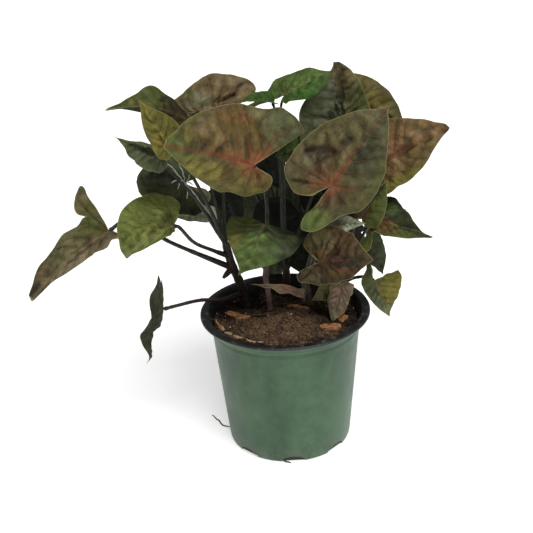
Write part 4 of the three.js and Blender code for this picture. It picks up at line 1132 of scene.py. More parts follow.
def turned_tree():
    """Turns a profile about Z, then cuts arched notches round its foot."""
    wires, given, output = new_tree("Turned pot", {
        "Sides": "Int", "Points": "Int", "Notches": "Int", "First notch": "Float",
        "Notch width": "Float", "Notch height": "Float", "Notch depth": "Float",
        "Foot radius": "Float", "Lining row": "Int", "Plastic": "Material", "Lining": "Material"})
    across = wires.math("ADD", given["Sides"], 1)
    grid = wires.node("GeometryNodeMeshGrid", {"Size X": 1.0, "Size Y": 1.0, "Vertices X": across,
                                               "Vertices Y": given["Points"]})
    place = wires.node("ShaderNodeSeparateXYZ", {0: wires.out("GeometryNodeInputPosition")}).outputs
    turn = wires.math("MULTIPLY", wires.math("ADD", place[0], 0.5), 2 * math.pi)
    last = wires.math("SUBTRACT", given["Points"], 1)
    row = wires.math("ROUND", wires.math("MULTIPLY", wires.math("ADD", place[1], 0.5), last))
    profile = wires.node("GeometryNodeSampleIndex", data_type="FLOAT_VECTOR", domain="POINT")
    wires.feed(profile.inputs["Geometry"], given["Geometry"])
    wires.feed(profile.inputs["Value"], wires.out("GeometryNodeInputPosition"))
    wires.feed(profile.inputs["Index"], row)
    turned = wires.node("ShaderNodeVectorRotate", {"Vector": profile.outputs[0], "Angle": turn},
                        rotation_type="Z_AXIS")
    lined = wires.node("FunctionNodeCompare", data_type="FLOAT", operation="GREATER_THAN")
    wires.feed(lined.inputs[0], row)
    wires.feed(lined.inputs[1], given["Lining row"])
    plastic = wires.out("GeometryNodeSetMaterial",
                        {"Geometry": grid.outputs[0], "Material": given["Plastic"]})
    both = wires.node("GeometryNodeSetMaterial",
                      {"Geometry": plastic, "Selection": lined.outputs[0], "Material": given["Lining"]})
    shaped = wires.out("GeometryNodeSetPosition",
                       {"Geometry": both.outputs[0], "Position": turned.outputs[0]})
    closed = wires.out("GeometryNodeMergeByDistance", {"Geometry": shaped, "Distance": 0.00001})
    arch = wires.out("GeometryNodeMeshCylinder", {"Vertices": 40, "Radius": 1.0, "Depth": 2.0})
    size = wires.node("ShaderNodeCombineXYZ", {0: wires.math("MULTIPLY", given["Notch width"], 0.5),
                                               1: given["Notch height"], 2: given["Notch depth"]})
    back = wires.node("ShaderNodeCombineXYZ", {1: wires.math("MULTIPLY", given["Foot radius"], -1.0)})
    sized = wires.out("GeometryNodeTransform", {"Geometry": arch, "Scale": size.outputs[0]})
    cutter = wires.out("GeometryNodeTransform",
                       {"Geometry": sized, "Translation": back.outputs[0], "Rotation": (math.pi / 2, 0, 0)})
    spots = wires.out("GeometryNodePoints", {"Count": given["Notches"]})
    pitch = wires.math("DIVIDE", 2 * math.pi, given["Notches"])
    angle = wires.math("MULTIPLY_ADD", wires.out("GeometryNodeInputIndex"), pitch, given["First notch"])
    ring = wires.node("GeometryNodeInstanceOnPoints",
                      {"Points": spots, "Instance": cutter,
                       "Rotation": wires.out("ShaderNodeCombineXYZ", {2: angle})})
    cutters = wires.out("GeometryNodeRealizeInstances", {"Geometry": ring.outputs[0]})
    stained = wires.out("GeometryNodeSetMaterial", {"Geometry": cutters, "Material": given["Lining"]})
    cut = wires.node("GeometryNodeMeshBoolean", {"Mesh 1": closed, "Mesh 2": stained},
                     operation="DIFFERENCE", solver="MANIFOLD")
    whole = wires.out("GeometryNodeRealizeInstances", {"Geometry": cut.outputs[0]})
    bend = wires.out("GeometryNodeInputMeshEdgeAngle")
    sharp = wires.math("GREATER_THAN", bend, math.radians(38))
    soft = wires.out("GeometryNodeSetShadeSmooth", {"Geometry": whole, "Shade Smooth": True}, domain="FACE")
    edged = wires.node("GeometryNodeSetShadeSmooth",
                       {"Geometry": soft, "Selection": sharp, "Shade Smooth": False}, domain="EDGE")
    wires.feed(output.inputs[0], edged.outputs[0])
    return wires.tree


def stalk_tree():
    """Sweeps a ribbed and grooved section along every line of a curve, by the line's radius."""
    wires, given, output = new_tree("Stalks", {"Sides": "Int", "Groove": "Float",
                                               "Knuckle": "Float", "Knuckle step": "Float",
                                               "Material": "Material"})
    spline = wires.node("GeometryNodeSplineParameter").outputs
    height = wires.node("ShaderNodeSeparateXYZ", {0: wires.out("GeometryNodeInputPosition")}).outputs[2]
    rise = wires.step(height, 0.08, 0.2)
    along = wires.out("GeometryNodeStoreNamedAttribute",
                      {"Geometry": given["Geometry"], "Name": "rise", "Value": rise},
                      data_type="FLOAT", domain="POINT")
    ring = wires.out("GeometryNodeCurvePrimitiveCircle", {"Resolution": given["Sides"], "Radius": 1.0})
    spot = wires.out("GeometryNodeInputPosition")
    parts = wires.node("ShaderNodeSeparateXYZ", {0: spot}).outputs
    dip = wires.step(parts[1], 0.55, 1.0)
    inward = wires.math("SUBTRACT", 1.0, wires.math("MULTIPLY", dip, given["Groove"]))
    section = wires.out("ShaderNodeVectorMath", {0: spot, "Scale": inward}, operation="SCALE")
    grooved = wires.out("GeometryNodeSetPosition", {"Geometry": ring, "Position": section})
    beat = wires.math("PINGPONG", spline["Length"], wires.math("MULTIPLY", given["Knuckle step"], 0.5))
    swell = wires.math("MULTIPLY_ADD", wires.step(beat, 0.0, 0.0012, 1.0, 0.0), given["Knuckle"], 1.0)
    radius = wires.math("MULTIPLY", wires.out("GeometryNodeInputRadius"), swell)
    swept = wires.out("GeometryNodeCurveToMesh",
                      {"Curve": along, "Profile Curve": grooved, "Scale": radius, "Fill Caps": True})
    soft = wires.out("GeometryNodeSetShadeSmooth", {"Geometry": swept, "Shade Smooth": True}, domain="FACE")
    end_tree(wires, output, soft, given["Material"])
    return wires.tree


def strewn_tree():
    """Strews small shapes over the upward faces, turned and sized by a fixed seed."""
    wires, given, output = new_tree("Strewn bits", {
        "Shape": "Object", "Density": "Float", "Smallest": "Float", "Largest": "Float",
        "Rise": "Float", "Lie flat": "Float", "Seed": "Int", "Material": "Material"})
    facing = wires.node("ShaderNodeSeparateXYZ", {0: wires.out("GeometryNodeInputNormal")}).outputs[2]
    upward = wires.math("GREATER_THAN", facing, 0.5)
    spots = wires.node("GeometryNodeDistributePointsOnFaces",
                       {"Mesh": given["Geometry"], "Selection": upward, "Seed": given["Seed"]})
    wires.feed(spots.inputs["Density"], given["Density"])
    shape = wires.node("GeometryNodeObjectInfo", {"Object": given["Shape"]}).outputs["Geometry"]
    tilt = wires.math("MULTIPLY", wires.math("SUBTRACT", 1.0, given["Lie flat"]), math.pi)
    limits = [wires.out("ShaderNodeCombineXYZ", {0: value, 1: value, 2: math.pi * sign})
              for value, sign in ((wires.math("MULTIPLY", tilt, -1.0), -1), (tilt, 1))]
    turn = wires.out("FunctionNodeRandomValue", {0: limits[0], 1: limits[1], "Seed": given["Seed"]},
                     data_type="FLOAT_VECTOR")
    size = wires.node("FunctionNodeRandomValue", data_type="FLOAT")
    wires.feed(size.inputs[2], given["Smallest"])
    wires.feed(size.inputs[3], given["Largest"])
    wires.feed(size.inputs["Seed"], wires.math("ADD", given["Seed"], 7))
    raised = wires.node("GeometryNodeSetPosition", {"Geometry": spots.outputs[0]})
    wires.feed(raised.inputs["Offset"], wires.out("ShaderNodeCombineXYZ", {2: given["Rise"]}))
    bits = wires.node("GeometryNodeInstanceOnPoints",
                      {"Points": raised.outputs[0], "Instance": shape, "Rotation": turn})
    wires.feed(bits.inputs["Scale"], size.outputs[1])
    whole = wires.out("GeometryNodeRealizeInstances", {"Geometry": bits.outputs[0]})
    soft = wires.out("GeometryNodeSetShadeSmooth", {"Geometry": whole, "Shade Smooth": True}, domain="FACE")
    end_tree(wires, output, soft, given["Material"])
    return wires.tree


# ---- Settings ---------------------------------------------------------------------------------

def whole(name, description, default, **limits):
    return IntProperty(name=name, description=description, default=default, **limits)


def number(name, description, default, **limits):
    return FloatProperty(name=name, description=description, default=default, **limits)


def length(name, description, default):
    return number(name, description, default, min=0, unit="LENGTH", precision=4)


def colour(name, description, default):
    return FloatVectorProperty(name=name, description=description, default=tuple(paint(default)),
                               subtype="COLOR", size=3, min=0, max=1)


class PotSettings(bpy.types.PropertyGroup):
    height: length("Height", "Height of the lip above the table", 0.095)
    rim_radius: length("Rim radius", "Outer radius of the rolled lip", 0.057)
    foot_radius: length("Foot radius", "Radius of the wall at the table", 0.042)
    notch_width: length("Notch width", "Width of a drain notch", 0.016)
    notch_height: length("Notch height", "Height of a drain notch", 0.005)
    notch_depth: length("Notch depth", "Depth of a drain notch into the wall", 0.0026)
    notches: whole("Notches", "Drain notches round the foot", 8, min=1, max=16)
    sides: whole("Sides", "Facets round the pot", 192, min=24, max=512)
    plastic: colour("Plastic", "Colour of the outside", POT_GREEN)
    lining: colour("Lining", "Colour of the lip and the inside", POT_BLACK)


class SoilSettings(bpy.types.PropertyGroup):
    crumb: length("Crumb size", "Mean radius of a crumb", 0.0008)
    crumbs: whole("Crumbs", "Crumbs in a square centimetre", 32, min=0, max=60)
    chunks: whole("Chunks", "Large chunks in a square decimetre", 420, min=0, max=800)
    fibres: whole("Fibres", "Fibres in a square decimetre", 420, min=0, max=900)
    seed: whole("Seed", "Another way the bits fall", 4, min=0)
    mix_colour: colour("Dry mix", "Colour of the dry mix on the mound", SOIL_BROWN)


class BarkSettings(bpy.types.PropertyGroup):
    splinter: length("Splinter", "How far a chip's faces are torn", 0.0008)


class StalkSettings(bpy.types.PropertyGroup):
    sides: whole("Sides", "Facets round a stalk", 14, min=6, max=32)
    groove: number("Groove", "Depth of the channel in a stalk", 0.22, min=0, max=0.6, subtype="FACTOR")
    sheath: number("Sheath", "How much wider a stalk is at its foot", 0.55, min=0, max=2, subtype="FACTOR")
    knuckle_step: length("Knuckle step", "Distance between the rings of a shoot", 0.011)
    low_colour: colour("Low colour", "Colour of a stalk's foot", STALK_LOW)
    high_colour: colour("High colour", "Colour of a stalk under its blade", STALK_HIGH)


class LeafSettings(bpy.types.PropertyGroup):
    thickness: length("Thickness", "Thickness of a blade at its middle", 0.0005)
    pucker: length("Pucker", "Height of the quilting between the veins", 0.001)
    roll: length("Roll", "Height of a blade's broad uneven waves", 0.0021)
    vein_spacing: number("Vein spacing", "Step between side veins, in blade lengths", 0.165,
                         min=0.05, max=0.5)
    rows: whole("Rows", "Rings of a large blade", 40, min=8, max=80)
    rays: whole("Rays", "Rays of half a large blade", 60, min=20, max=120)


class StageSettings(bpy.types.PropertyGroup):
    lens: number("Lens", "Focal length for a 36 mm sensor", 67.54, min=10, unit="CAMERA")
    key_power: number("Key light", "Strength of the soft light from the right", 2.4, min=0)
    softness: number("Softness", "Width of that light in the sky, in degrees", 42, min=1, max=150)
    sky: number("Surround", "Strength of the pale surround", 0.2, min=0)
    glow: number("Floor glow", "Light that the pale floor adds by itself", 0.5, min=0)


SETTINGS = {"plant_pot": PotSettings, "plant_soil": SoilSettings, "plant_bark": BarkSettings,
            "plant_stalks": StalkSettings, "plant_leaves": LeafSettings, "plant_stage": StageSettings}


# ---- Pieces -----------------------------------------------------------------------------------

class PLANT_OT_pot(bpy.types.Operator):
    """Turn the nursery pot and cut its drain notches"""
    bl_idname = "plant.pot"
    bl_label = "Pot"

    def execute(self, context):
        pot = context.scene.plant_pot
        top, rim, foot = pot.height / MM, pot.rim_radius / MM, pot.foot_radius / MM
        inner, slope = rim - RIM_WIDTH, (COLLAR_RADIUS - foot) / COLLAR_Z
        outside = [(0, 0), (foot * 0.5, 0), (foot - 1.8, 0), (foot - 0.9, 0.25), (foot - 0.3, 0.8),
                   (foot + 0.05, 1.8)]
        outside += [(foot + slope * z, z) for z in (4, 7, 10, 20, 30, 40, 50, 60, 70, 78, 82.4)]
        outside += [(foot + slope * 83 + 0.12, 83), (foot + slope * 83.6 + 0.15, 83.6),
                    (foot + slope * 84.2, 84.2),
                    (COLLAR_RADIUS - 0.05, COLLAR_Z - 0.4), (COLLAR_RADIUS + 0.35, COLLAR_Z - 0.05),
                    (COLLAR_RADIUS + 0.7, COLLAR_Z + 0.5),
                    (COLLAR_RADIUS + 1.5, COLLAR_Z + 2.7), (inner + 0.7, top - 3.6),
                    (inner + 1.2, top - 2.9),
                    (inner + 2.2, top - 2.62), (rim - 1.5, top - 2.5), (rim - 0.5, top - 2.25),
                    (rim - 0.1, top - 1.8), (rim, top - 1.3)]
        inside = [(rim - 0.05, top - 0.8), (rim - 0.3, top - 0.35), (rim - 0.8, top - 0.08),
                  (rim - 1.6, top), (inner + 1.6, top - 0.05),
                  (inner + 0.6, top - 0.2), (inner, top - 0.6), (inner - 0.4, top - 1.4),
                  (inner - 1.2, top - 4),
                  (COLLAR_RADIUS - WALL + 0.3, COLLAR_Z), (COLLAR_RADIUS - WALL - 1, COLLAR_Z - 12),
                  (foot + slope * FLOOR - WALL, FLOOR), (foot * 0.5, FLOOR), (0, FLOOR)]
        profile = [(r, 0, z) for r, z in outside + inside]
        source = mesh_piece("pot_profile", profile, [])
        piece = run_tree(source, turned_tree(), {
            "Sides": pot.sides, "Points": len(profile), "Notches": pot.notches,
            "First notch": math.radians(FIRST_NOTCH),
            "Notch width": pot.notch_width, "Notch height": pot.notch_height,
            "Notch depth": pot.notch_depth,
            "Foot radius": pot.foot_radius, "Lining row": len(outside) - 1,
            "Plastic": pot_plastic(pot), "Lining": pot_lining(pot)}, "nursery_pot")
        while piece.data.materials[0] is None:
            piece.data.materials.pop(index=0)
        settle(piece, "green_plastic", "pot")
        return {"FINISHED"}


def crumb_shape(name, seed, squash, lumps):
    """A rough lump one unit across, made of a few dozen faces."""
    rough = bmesh.new()
    bmesh.ops.create_cube(rough, size=1.2)
    bmesh.ops.subdivide_edges(rough, edges=rough.edges[:], cuts=1, use_grid_fill=True)
    places = np.array([v.co.normalized() for v in rough.verts])
    swell = 1 + lumps * ripple(places, 1.6, seed, 2)
    for vertex, place, grown in zip(rough.verts, places, swell):
        vertex.co = Vector(place * grown * squash)
    mesh = bpy.data.meshes.new(name)
    rough.to_mesh(mesh)
    rough.free()
    return link(name, mesh)


def fibre_shape(name, bend):
    """A thin bent rod six units long."""
    share = np.linspace(-1, 1, 7)
    line = np.stack([3 * share, bend * share ** 2, 0.6 * bend * share ** 3], 1)
    points = [p + (0, 0.16 * math.cos(t), 0.16 * math.sin(t)) for p in line for t in (0, 2.1, 4.2)]
    faces = [(3 * i + j, 3 * i + (j + 1) % 3, 3 * i + 3 + (j + 1) % 3, 3 * i + 3 + j)
             for i in range(6) for j in range(3)]
    faces = [tuple(reversed(face)) for face in faces] + [(0, 1, 2), (20, 19, 18)]
    return mesh_piece(name, np.array(points) / MM, faces, False)


class PLANT_OT_soil(bpy.types.Operator):
    """Fill the pot with crumbly mix and strew bits over it"""
    bl_idname = "plant.soil"
    bl_label = "Soil"

    def surface(self, count, turns):
        """Closed body of the mix: points in millimetres and faces."""
        radius = np.linspace(0, SOIL_RADIUS, count + 1)[1:, None]
        angle = np.linspace(0, 2 * math.pi, turns, endpoint=False)[None]
        x, y = radius * np.cos(angle), radius * np.sin(angle)
        flat = np.stack([x, y], -1)
        rough = 0.8 * ripple(flat, 9, 11, 4) + 0.28 * ripple(flat, 1.9, 12, 2)
        top = np.stack([x, y, soil_height(x, y) + rough - 0.4], -1).reshape(-1, 3)
        low = wall_radius(SOIL_BOTTOM) - WALL - 2 * GAP
        foot = np.stack([low * np.cos(angle[0]), low * np.sin(angle[0]), np.full(turns, SOIL_BOTTOM)], -1)
        points = np.vstack([[(0, 0, soil_height(0, 0))], top, foot, [(0, 0, SOIL_BOTTOM)]])
        faces = []
        for j in range(turns):
            k = (j + 1) % turns
            faces.append((0, 1 + j, 1 + k))
            for i in range(count):
                a, b = 1 + i * turns, 1 + (i + 1) * turns
                faces.append((a + j, b + j, b + k, a + k))
            foot_row = 1 + count * turns
            faces.append((len(points) - 1, foot_row + k, foot_row + j))
        return points, faces

    def torn_edge(self, tree):
        """Pale fibres along the front left edge of the mix."""
        lines = []
        for seed, (first, last, inset) in enumerate(((186, 247, 1.4), (192, 232, 2.4), (214, 252, 2.0))):
            angle = np.radians(np.linspace(first, last, 60))
            wander = ripple(angle[:, None], 0.5, seed, 3)
            reach = SOIL_RADIUS - inset + 0.8 * wander
            x, y = reach * np.cos(angle), reach * np.sin(angle)
            z = soil_height(x, y) + 0.3 + 0.5 * ripple(angle[:, None], 0.3, seed + 5, 2)
            lines.append((np.stack([x, y, z], -1), 0.55 + 0.25 * ripple(angle[:, None], 0.2, seed + 9, 2)))
        values = {"Sides": 6, "Groove": 0.3, "Knuckle": 0.0, "Knuckle step": 0.01,
                  "Material": wood_finish("torn_fibre", FIBRE_PALE, FIBRE, 160)}
        settle(run_tree(curve_piece("edge_lines", lines), tree, values, "soil_edge"), "potting_mix")

    def execute(self, context):
        soil = context.scene.plant_soil
        points, faces = self.surface(96, 220)
        piece = mesh_piece("potting_mix", points, faces)
        mix = soil_finish("crumbly_mix", soil)
        piece.data.materials.append(mix)
        x, y = points[:, 0], points[:, 1]
        dry = dryness(x, y) + 0.25 * ripple(points[:, :2], 16, 5)
        add_attribute(piece.data, "dry", "FLOAT", np.clip(dry, 0, 1))
        perlite = soil_finish("perlite", soil, 0.8)
        fibre = wood_finish("fibre", FIBRE, SOIL_BROWN, 160)
        shapes = [crumb_shape("crumb", 1, (1, 0.8, 0.7), 0.35),
                  crumb_shape("chunk", 2, (1, 0.62, 0.5), 0.5), fibre_shape("fibre", 0.9)]
        crumb, dm, cm = soil.crumb, 100, 10000
        tree = strewn_tree()
        for name, shape, density, small, large, rise, flat, finish in (
                ("soil_crumbs", shapes[0], soil.crumbs * cm, 0.5 * crumb, 1.5 * crumb, 0.0002, 0.2, mix),
                ("soil_chunks", shapes[1], soil.chunks * dm, 1.5 * crumb, 3.2 * crumb, 0.0003, 0.7, mix),
                ("soil_fibres", shapes[2], soil.fibres * dm, 0.5 * crumb, 1.3 * crumb, 0.0007, 0.9, fibre),
                ("soil_perlite", shapes[0], PERLITE_BITS * dm, 0.4 * crumb, 1.0 * crumb, 0.0004,
                 0.2, perlite)):
            source = link(name + "_ground", piece.data.copy())
            bits = run_tree(source, tree, {
                "Shape": shape, "Density": density, "Smallest": small, "Largest": large,
                "Rise": rise, "Lie flat": flat, "Seed": soil.seed + len(name), "Material": finish}, name)
            places = np.zeros(len(bits.data.vertices) * 3)
            bits.data.vertices.foreach_get("co", places)
            places = places.reshape(-1, 3) / MM
            crumbly = dryness(places[:, 0], places[:, 1])
            if "dry" in bits.data.attributes:
                bits.data.attributes.remove(bits.data.attributes["dry"])
            add_attribute(bits.data, "dry", "FLOAT",
                          np.clip(crumbly + 0.3 * ripple(places[:, :2], 7, 6), 0, 1))
            settle(bits, "potting_mix")
        settle(piece, "potting_mix", "soil")
        self.torn_edge(stalk_tree())
        for shape in shapes:
            bpy.data.objects.remove(shape)
        return {"FINISHED"}


class PLANT_OT_bark(bpy.types.Operator):
    """Lay the torn bark chips in the soil"""
    bl_idname = "plant.bark"
    bl_label = "Bark chips"

    def execute(self, context):
        bark = context.scene.plant_bark
        finish = wood_finish("bark_grain", BARK, BARK_DARK)
        for seed, (node, chip) in enumerate(CHIPS.items()):
            rough = bmesh.new()
            bmesh.ops.create_cube(rough, size=1)
            bmesh.ops.subdivide_edges(rough, edges=rough.edges[:], cuts=9, use_grid_fill=True)
            unit = np.array([v.co for v in rough.verts])
            places = unit * chip["size"]
            ends = smooth((np.abs(unit[:, 0]) - 0.3) / 0.2)
            taper = 1 - ends * (0.35 + 0.3 * ripple(unit[:, 1:], 0.5, seed + 20))
            stretched = places * (0.35, 1, 1)
            tear = bark.splinter / MM * ripple(stretched, 1.8, seed, 3)
            push = places / np.linalg.norm(places, axis=1, keepdims=True)
            places = places * np.column_stack([0.96 - 0.05 * ripple(unit[:, 1:], 0.4, seed + 40),
                                               taper, taper]) + push * tear[:, None]
            x, y = chip["at"]
            turn = Matrix.Translation((x, y, soil_height(x, y) + CHIP_RISE)) \
                @ Matrix.Rotation(math.radians(chip["turn"]), 4,
                                  "Z") @ Matrix.Rotation(math.radians(chip["tilt"]), 4, "Y")
            for vertex, place in zip(rough.verts, places):
                vertex.co = (turn @ Vector(place)) * MM
            mesh = bpy.data.meshes.new(node)
            rough.to_mesh(mesh)
            rough.free()
            mesh.materials.append(finish)
            mesh.polygons.foreach_set("use_smooth", [True] * len(mesh.polygons))
            settle(link(node.replace("bark_chip", "chip"), mesh), "bark", node)
        return {"FINISHED"}


class PLANT_OT_shoots(bpy.types.Operator):
    """Grow the shoots with the stalks of their leaves"""
    bl_idname = "plant.shoots"
    bl_label = "Shoots and stalks"

    def strands(self, name, table, tree, values):
        lines = []
        for seed, (radius, path) in enumerate(table):
            line = smooth_path(path, 12)
            share = np.linspace(0, 1, len(line))
            line[:, :2] += 0.4 * np.stack([ripple(line, 6, seed + 60), ripple(line, 6, seed + 70)], -1)
            lines.append((line, radius * (1 - 0.5 * np.abs(2 * share - 1) ** 3)))
        settle(run_tree(curve_piece(f"{name}_lines", lines), tree, values, name), "stem")

    def execute(self, context):
        stalks = context.scene.plant_stalks
        plain = stalk_finish("stalk_skin", stalks, tuple(stalks.low_colour))
        finishes = {"b": stalk_finish("stalk_purple", stalks, paint(STALK_PURPLE)),
                    "c": stalk_finish("stalk_rough", stalks, paint(STALK_ROUGH))}
        tree = stalk_tree()
        values = {"Sides": stalks.sides, "Groove": stalks.groove, "Knuckle": 0.12,
                  "Knuckle step": stalks.knuckle_step}
        for key, shoot in SHOOTS.items():
            crown = np.array(shoot["path"][-1], float) - (0, 0, CROWN_INSET)
            stem = smooth_path(shoot["path"], 14)
            share = np.linspace(0, 1, len(stem))
            end = smooth((share - 0.9) / 0.1)
            lines = [(stem, shoot["radius"] * (1.05 - 0.12 * share - 0.3 * end))]
            if "bud" in shoot:
                bud = smooth_path(shoot["bud"], 14)
                lines.append((bud, BUD_RADIUS * (1 - 0.6 * np.linspace(0, 1, len(bud)) ** 3)))
            for leaf in LEAVES.values():
                if leaf["shoot"] == key:
                    path = stalk_path(leaf, crown)
                    share = np.linspace(0, 1, len(path))
                    swell = 1 + stalks.sheath * (1 - smooth(share / 0.3)) - 0.12 * smooth(share / 0.9) \
                        + 0.22 * smooth((share - 0.9) / 0.06) - 0.5 * smooth((share - 0.98) / 0.02)
                    lines.append((path, leaf["stalk"] * swell))
            values["Material"] = finishes.get(key, plain)
            settle(run_tree(curve_piece(f"shoot_{key}_lines", lines), tree, values,
                            f"stalks_{key}"), "stem", f"shoot_{key}")
        self.strands("loose_roots", ROOTS, tree,
                     {**values, "Material": wood_finish("root_skin", ROOT, SOIL_BLACK)})
        self.strands("dry_strands", STRANDS, tree,
                     {**values, "Material": wood_finish("strand_skin", FIBRE_GREY, STALK_GREY)})
        return {"FINISHED"}


class PLANT_OT_leaves(bpy.types.Operator):
    """Shape every leaf blade, with its veins, quilting and thin edge"""
    bl_idname = "plant.leaves"
    bl_label = "Leaf blades"

    def blade(self, name, leaf, settings, seed):
        rows, rays = settings.rows, settings.rays
        if not leaf["fine"]:
            rows, rays = rows // 2 + 4, rays // 2 + 10
        join, along, up, across, size = blade_axes(leaf)
        side, angle, radius, plain, rim = blade_grid(leaf, rows, rays)
        around = np.stack([np.cos(angle), side * np.sin(angle)], -1)
        radius = radius * (1 + leaf["ragged"] * ripple(around, 0.5, seed + 7) * smooth(3 * angle)
                           * rim ** 2)
        flat = around * radius[..., None]
        calm = smooth(4 * radius)
        plain = np.stack([plain[..., 0] + 0.035 * calm * ripple(flat, 0.55, seed + 5, 2),
                          plain[..., 1] * (1 + 0.16 * calm * ripple(flat, 0.6, seed + 6, 2))], -1)
        middle = blade_middle(leaf, side, angle, radius, rim)
        normals = grid_normals(middle, join)
        near, mid = vein_distance(plain[..., 0], plain[..., 1], settings.vein_spacing)
        colours = blade_colours(leaf, side, radius, flat, middle, seed)
        flat = flat * size
        edge = np.vstack([[(0, 0)], flat[-1], [(0, 0)]])
        inset = edge_inset(flat, edge)
        calm = smooth(inset / 4)
        open_cell = smooth(np.minimum(near, mid) / 0.05)
        quilt = settings.pucker / MM * leaf["pucker"] * (open_cell - 0.5)
        quilt = quilt * (1 + 0.7 * ripple(flat, 14, seed)) * calm
        wrinkle = 0.6 * leaf["pucker"] * ripple(flat, 11, seed + 1, 3) * calm
        pleat = 1.1 * np.exp(-(mid / 0.1) ** 2) * ripple(flat, 0.2 * size, seed + 8, 2)
        pleat = pleat * calm * smooth(radius * 4)
        roll = settings.roll / MM * ripple(flat, 0.6 * size, seed + 2, 2) * smooth(radius * 3)
        ruffle = 0.35 * np.sin(9 * angle + seed) * smooth((rim - 0.8) / 0.2) * smooth(angle * 3)
        scale = min(1.0, size / 45)
        flat_share = flat / size
        dent = sum((depth * patch_cover(flat_share, place, reach, turn, seed + number)
                    for number, (depth, place, reach, turn) in enumerate(leaf["dents"])), 0 * rim)
        raised = middle + normals * ((quilt + wrinkle + pleat + roll + ruffle) * scale + dent)[..., None]
        # Painted shade and highlight: the tint is darker in the hollows and lighter on the ridges of the
        # quilting, wrinkles and pleats.
        colours = colours * (1.01 + 0.42 * np.clip((quilt + wrinkle + 1.3 * pleat) / 0.8, -1, 1))[..., None]
        groove = 0.3 * np.exp(-(mid / 0.014) ** 2) * smooth(4 * inset / size)
        ridge = 0.55 * np.exp(-(mid / 0.02) ** 2) * (1 - 0.7 * smooth(radius))
        ridge = ridge + 0.15 * np.exp(-(near / 0.012) ** 2)
        thin = settings.thickness / MM * (0.4 + 0.6 * smooth(inset / 3)) / 2
        upper = raised + normals * (thin - groove * scale * smooth(inset / 2))[..., None]
        lower = raised - normals * (thin + ridge * scale * smooth(inset / 2))[..., None]
        ring = middle.shape[1]
        heart = settings.thickness / MM / 2
        count = 1 + rows * ring
        points = np.vstack([[join + up * heart], upper.reshape(-1, 3), [join - up * heart],
                            lower.reshape(-1, 3)])
        at = np.arange(rows * ring).reshape(rows, ring) + 1
        quads = np.stack([at[:-1, :-1], at[:-1, 1:], at[1:, 1:], at[1:, :-1]], -1).reshape(-1, 4)
        fans = np.stack([np.zeros(ring - 1, int), at[0, 1:], at[0, :-1]], -1)
        border = np.concatenate([[0], at[:-1, 0], at[-1], at[-2::-1, -1]])
        following = np.roll(border, -1)
        band = np.stack([border, following, following + count, border + count], -1)
        faces = quads.tolist() + fans.tolist()
        under = (quads[:, ::-1] + count).tolist() + (fans[:, ::-1] + count).tolist()
        piece = mesh_piece(name, points, faces + under + band.tolist())
        mesh = piece.data
        mesh.polygons.foreach_set("material_index", [0] * len(faces) + [1] * len(under) + [0] * len(band))
        mesh.set_sharp_from_angle(angle=math.radians(55))
        tint = colours.reshape(-1, 3)
        heart_tint = tint[: ring].mean(0)
        add_attribute(mesh, "tint", "FLOAT_COLOR", np.vstack([heart_tint, tint, heart_tint, tint]))
        add_attribute(mesh, "flush", "FLOAT", np.full(len(points), leaf["flush"]))
        depth = np.concatenate([[0.6], inset.ravel()])
        add_attribute(mesh, "inset", "FLOAT", np.concatenate([depth, depth]))
        place = np.vstack([[(0, 0)], plain.reshape(-1, 2)])
        place = np.vstack([place, place])
        corners = np.zeros(len(mesh.loops), int)
        mesh.loops.foreach_get("vertex_index", corners)
        mesh.uv_layers.new(name="blade").data.foreach_set("uv", place[corners].astype(np.float32).ravel())
        return piece

    def execute(self, context):
        settings = context.scene.plant_leaves
        finishes = leaf_finishes(settings)
        for seed, (node, leaf) in enumerate(LEAVES.items()):
            piece = self.blade(node.replace("leaf_", "blade_"), leaf, settings, 30 + seed)
            top, under, slot = finishes[leaf["family"]]
            piece.data.materials.append(top)
            piece.data.materials.append(under)
            settle(piece, slot, node)
        return {"FINISHED"}


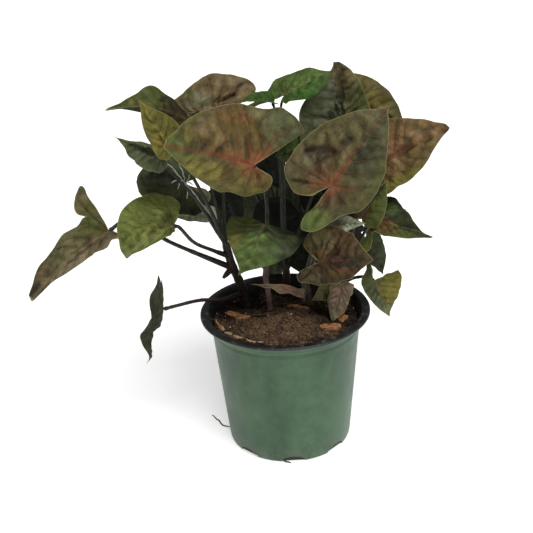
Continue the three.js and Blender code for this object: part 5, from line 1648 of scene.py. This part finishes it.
class PLANT_OT_stage(bpy.types.Operator):
    """Set the floor, the lights, the surround and the camera"""
    bl_idname = "plant.stage"
    bl_label = "Stage"

    def execute(self, context):
        stage, scene = context.scene.plant_stage, context.scene
        corners = [(x * FLOOR_REACH, y * FLOOR_REACH, 0) for x, y in ((-1, -1), (1, -1), (1, 1), (-1, 1))]
        floor = mesh_piece("floor", corners, [(0, 1, 2, 3)], False)
        floor.data.materials.append(floor_finish(stage.glow))
        sun = bpy.data.lights.new("daylight", "SUN")
        sun.energy, sun.angle = stage.key_power, math.radians(stage.softness)
        lamp = link("daylight", sun)
        lamp.rotation_euler = (-Vector(LIGHT_FROM)).to_track_quat("-Z", "Y").to_euler()
        world = bpy.data.worlds.new("surround")
        world.use_nodes = True
        wires = Wires(world.node_tree)
        soft = world.node_tree.nodes["Background"]
        soft.inputs["Color"].default_value = (1, 1, 1, 1)
        soft.inputs["Strength"].default_value = stage.sky
        plain = wires.node("ShaderNodeBackground", {"Color": (1, 1, 1, 1), "Strength": BACKDROP})
        seen = wires.node("ShaderNodeLightPath").outputs["Is Camera Ray"]
        both = wires.node("ShaderNodeMixShader", {0: seen, 1: soft.outputs[0], 2: plain.outputs[0]})
        wires.feed(world.node_tree.nodes["World Output"].inputs["Surface"], both.outputs[0])
        scene.world = world
        scene.view_settings.view_transform = "Standard"
        yaw, pitch, roll = (math.radians(angle) for angle in CAMERA_TURN)
        ahead = Vector((math.sin(yaw) * math.cos(pitch), math.cos(yaw) * math.cos(pitch), -math.sin(pitch)))
        right = ahead.cross(Vector((0, 0, 1))).normalized()
        above = right.cross(ahead)
        across = math.cos(roll) * right + math.sin(roll) * above
        above = -math.sin(roll) * right + math.cos(roll) * above
        lens = bpy.data.cameras.new("camera")
        lens.lens, lens.sensor_width = stage.lens, SENSOR_WIDTH
        camera = link("camera", lens)
        facing = Matrix((across, above, -ahead)).transposed().to_4x4()
        camera.matrix_world = Matrix.Translation(CAMERA_PLACE) @ facing
        scene.camera = camera
        return {"FINISHED"}


OPERATORS = (PLANT_OT_stage, PLANT_OT_pot, PLANT_OT_soil, PLANT_OT_bark, PLANT_OT_shoots, PLANT_OT_leaves)


class PLANT_PT_panel(bpy.types.Panel):
    """The pieces of the plant with their settings"""
    bl_label = "Arrowhead plant"
    bl_idname = "PLANT_PT_panel"
    bl_space_type = "VIEW_3D"
    bl_region_type = "UI"
    bl_category = "Plant"

    def draw(self, context):
        for operator in OPERATORS:
            self.layout.operator(operator.bl_idname)
        for name, group in SETTINGS.items():
            box = self.layout.box()
            for key in group.__annotations__:
                box.prop(getattr(context.scene, name), key)


CLASSES = (*SETTINGS.values(), *OPERATORS, PLANT_PT_panel)


def register():
    for item in CLASSES:
        bpy.utils.register_class(item)
    for name, group in SETTINGS.items():
        setattr(bpy.types.Scene, name, PointerProperty(type=group))


def unregister():
    for name in SETTINGS:
        delattr(bpy.types.Scene, name)
    for item in reversed(CLASSES):
        bpy.utils.unregister_class(item)


def main():
    register()
    for operator in OPERATORS:
        group, name = operator.bl_idname.split(".")
        getattr(getattr(bpy.ops, group), name)()


if __name__ == "__main__":
    main()
